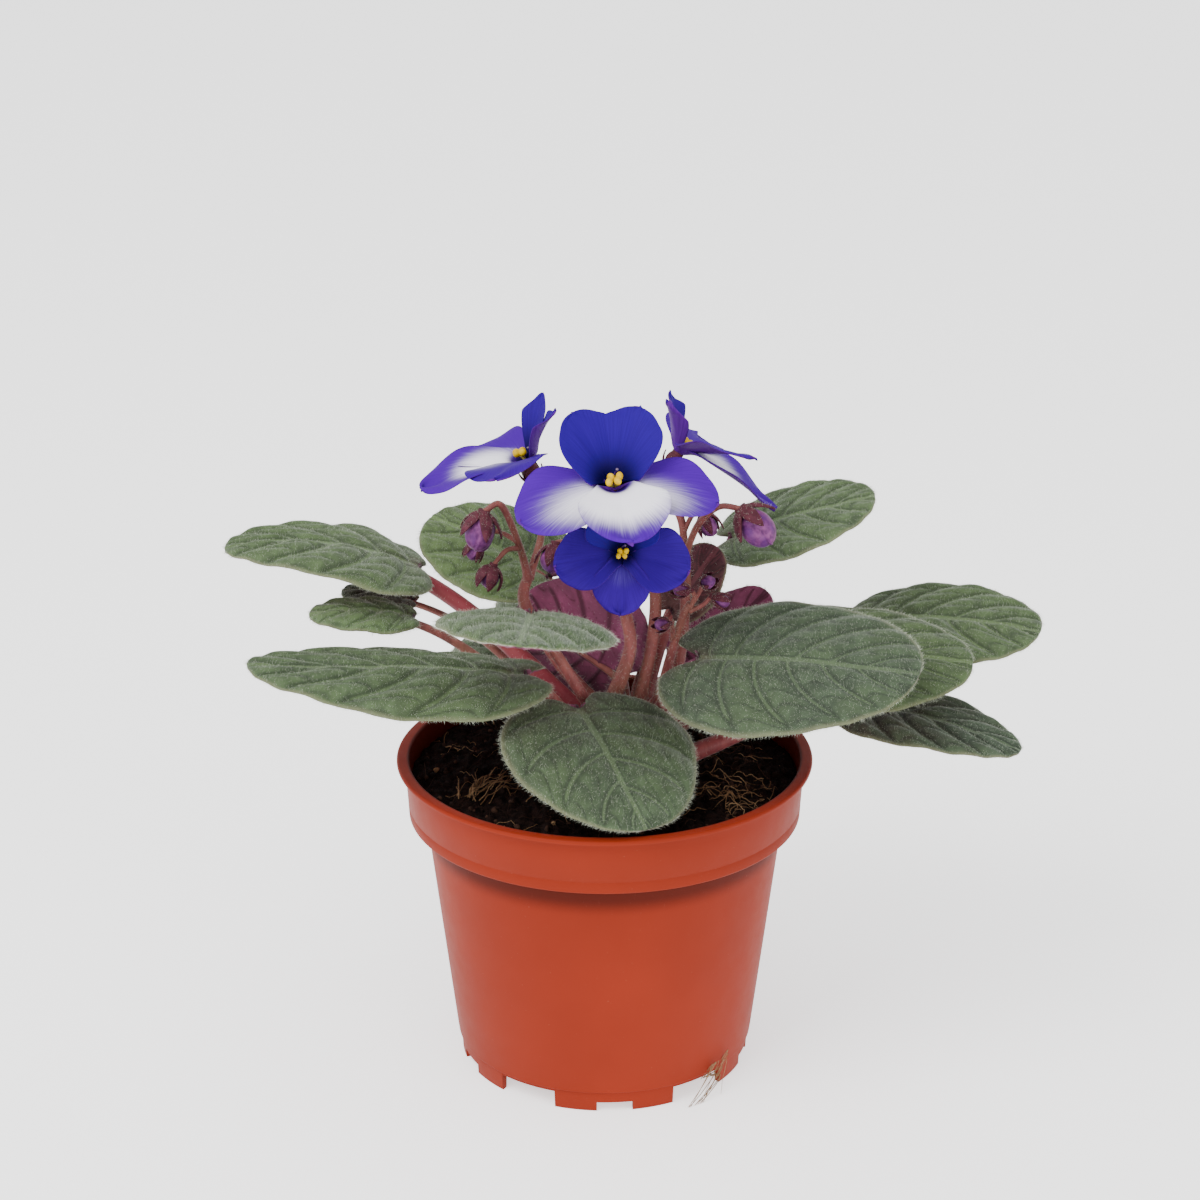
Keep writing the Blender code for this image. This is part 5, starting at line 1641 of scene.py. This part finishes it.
SENSOR_WIDTH = 36.0
FLOOR_REACH = 6.0
LIGHT_AIM = (0.0, 0.0, 0.09)
# The point that both lights face, in metres.


def soft_light(name, place, size, power):
    """A square area light of this size in metres that faces the plant."""
    lamp = bpy.data.lights.new(name, "AREA")
    lamp.size = size
    lamp.energy = power
    thing = bpy.data.objects.new(name, lamp)
    bpy.context.scene.collection.objects.link(thing)
    thing.location = place
    thing.rotation_euler = (Vector(LIGHT_AIM) - Vector(place)).to_track_quat("-Z", "Y").to_euler()
    return thing


def make_stage(scene, settings):
    """The camera, two soft lights, the floor and an even white sky."""
    camera = bpy.data.cameras.new("camera")
    camera.lens = settings.lens
    camera.sensor_width = SENSOR_WIDTH
    thing = bpy.data.objects.new("camera", camera)
    scene.collection.objects.link(thing)
    thing.location = settings.camera_place
    thing.rotation_euler = (math.pi / 2 - settings.camera_tilt, 0.0, 0.0)
    scene.camera = thing
    soft_light("key_light", (-0.55, -0.55, 0.95), 0.7, settings.key_power)
    soft_light("fill_light", (0.75, -0.75, 0.45), 0.8, settings.fill_power)
    floor = bpy.data.meshes.new("floor")
    corners = [(x * FLOOR_REACH, y * FLOOR_REACH, 0.0) for x, y in ((-1, -1), (1, -1), (1, 1), (-1, 1))]
    floor.from_pydata(corners, [], [(0, 1, 2, 3)])
    floor.materials.append(floor_finish(settings))
    ground = bpy.data.objects.new("floor", floor)
    scene.collection.objects.link(ground)
    world = bpy.data.worlds.new("studio")
    scene.world = world
    world.use_nodes = True
    world.node_tree.nodes["Background"].inputs["Color"].default_value = (1.0, 1.0, 1.0, 1.0)
    world.node_tree.nodes["Background"].inputs["Strength"].default_value = settings.sky


STEPS = (
    VIOLET_OT_stage,
    VIOLET_OT_pot,
    VIOLET_OT_potting_mix,
    VIOLET_OT_crown,
    VIOLET_OT_leaves,
    VIOLET_OT_stalks,
    VIOLET_OT_flowers,
    VIOLET_OT_buds,
)


class VIOLET_PT_panel(bpy.types.Panel):
    """The plant's pieces and settings, in the 3D view's sidebar"""

    bl_idname = "VIOLET_PT_panel"
    bl_label = "African Violet"
    bl_space_type = "VIEW_3D"
    bl_region_type = "UI"
    bl_category = "Violet"

    def draw(self, context):
        for key, group in SETTINGS.items():
            box = self.layout.box()
            for field in group.__annotations__:
                box.prop(getattr(context.scene, key), field)
        for step in STEPS:
            self.layout.operator(step.bl_idname)


SETTINGS = {
    "violet_leaves": VioletLeafSettings,
    "violet_stalks": VioletStalkSettings,
    "violet_flowers": VioletFlowerSettings,
    "violet_pot": VioletPotSettings,
    "violet_stage": VioletStageSettings,
}


def register():
    for group in SETTINGS.values():
        bpy.utils.register_class(group)
    for key, group in SETTINGS.items():
        setattr(bpy.types.Scene, key, bpy.props.PointerProperty(type=group))
    for thing in (*STEPS, VIOLET_PT_panel):
        bpy.utils.register_class(thing)


def unregister():
    for thing in (*STEPS, VIOLET_PT_panel):
        bpy.utils.unregister_class(thing)
    for key, group in SETTINGS.items():
        delattr(bpy.types.Scene, key)
        bpy.utils.unregister_class(group)


def main():
    register()
    for step in STEPS:
        group, name = step.bl_idname.split(".")
        getattr(getattr(bpy.ops, group), name)()


if __name__ == "__main__":
    main()
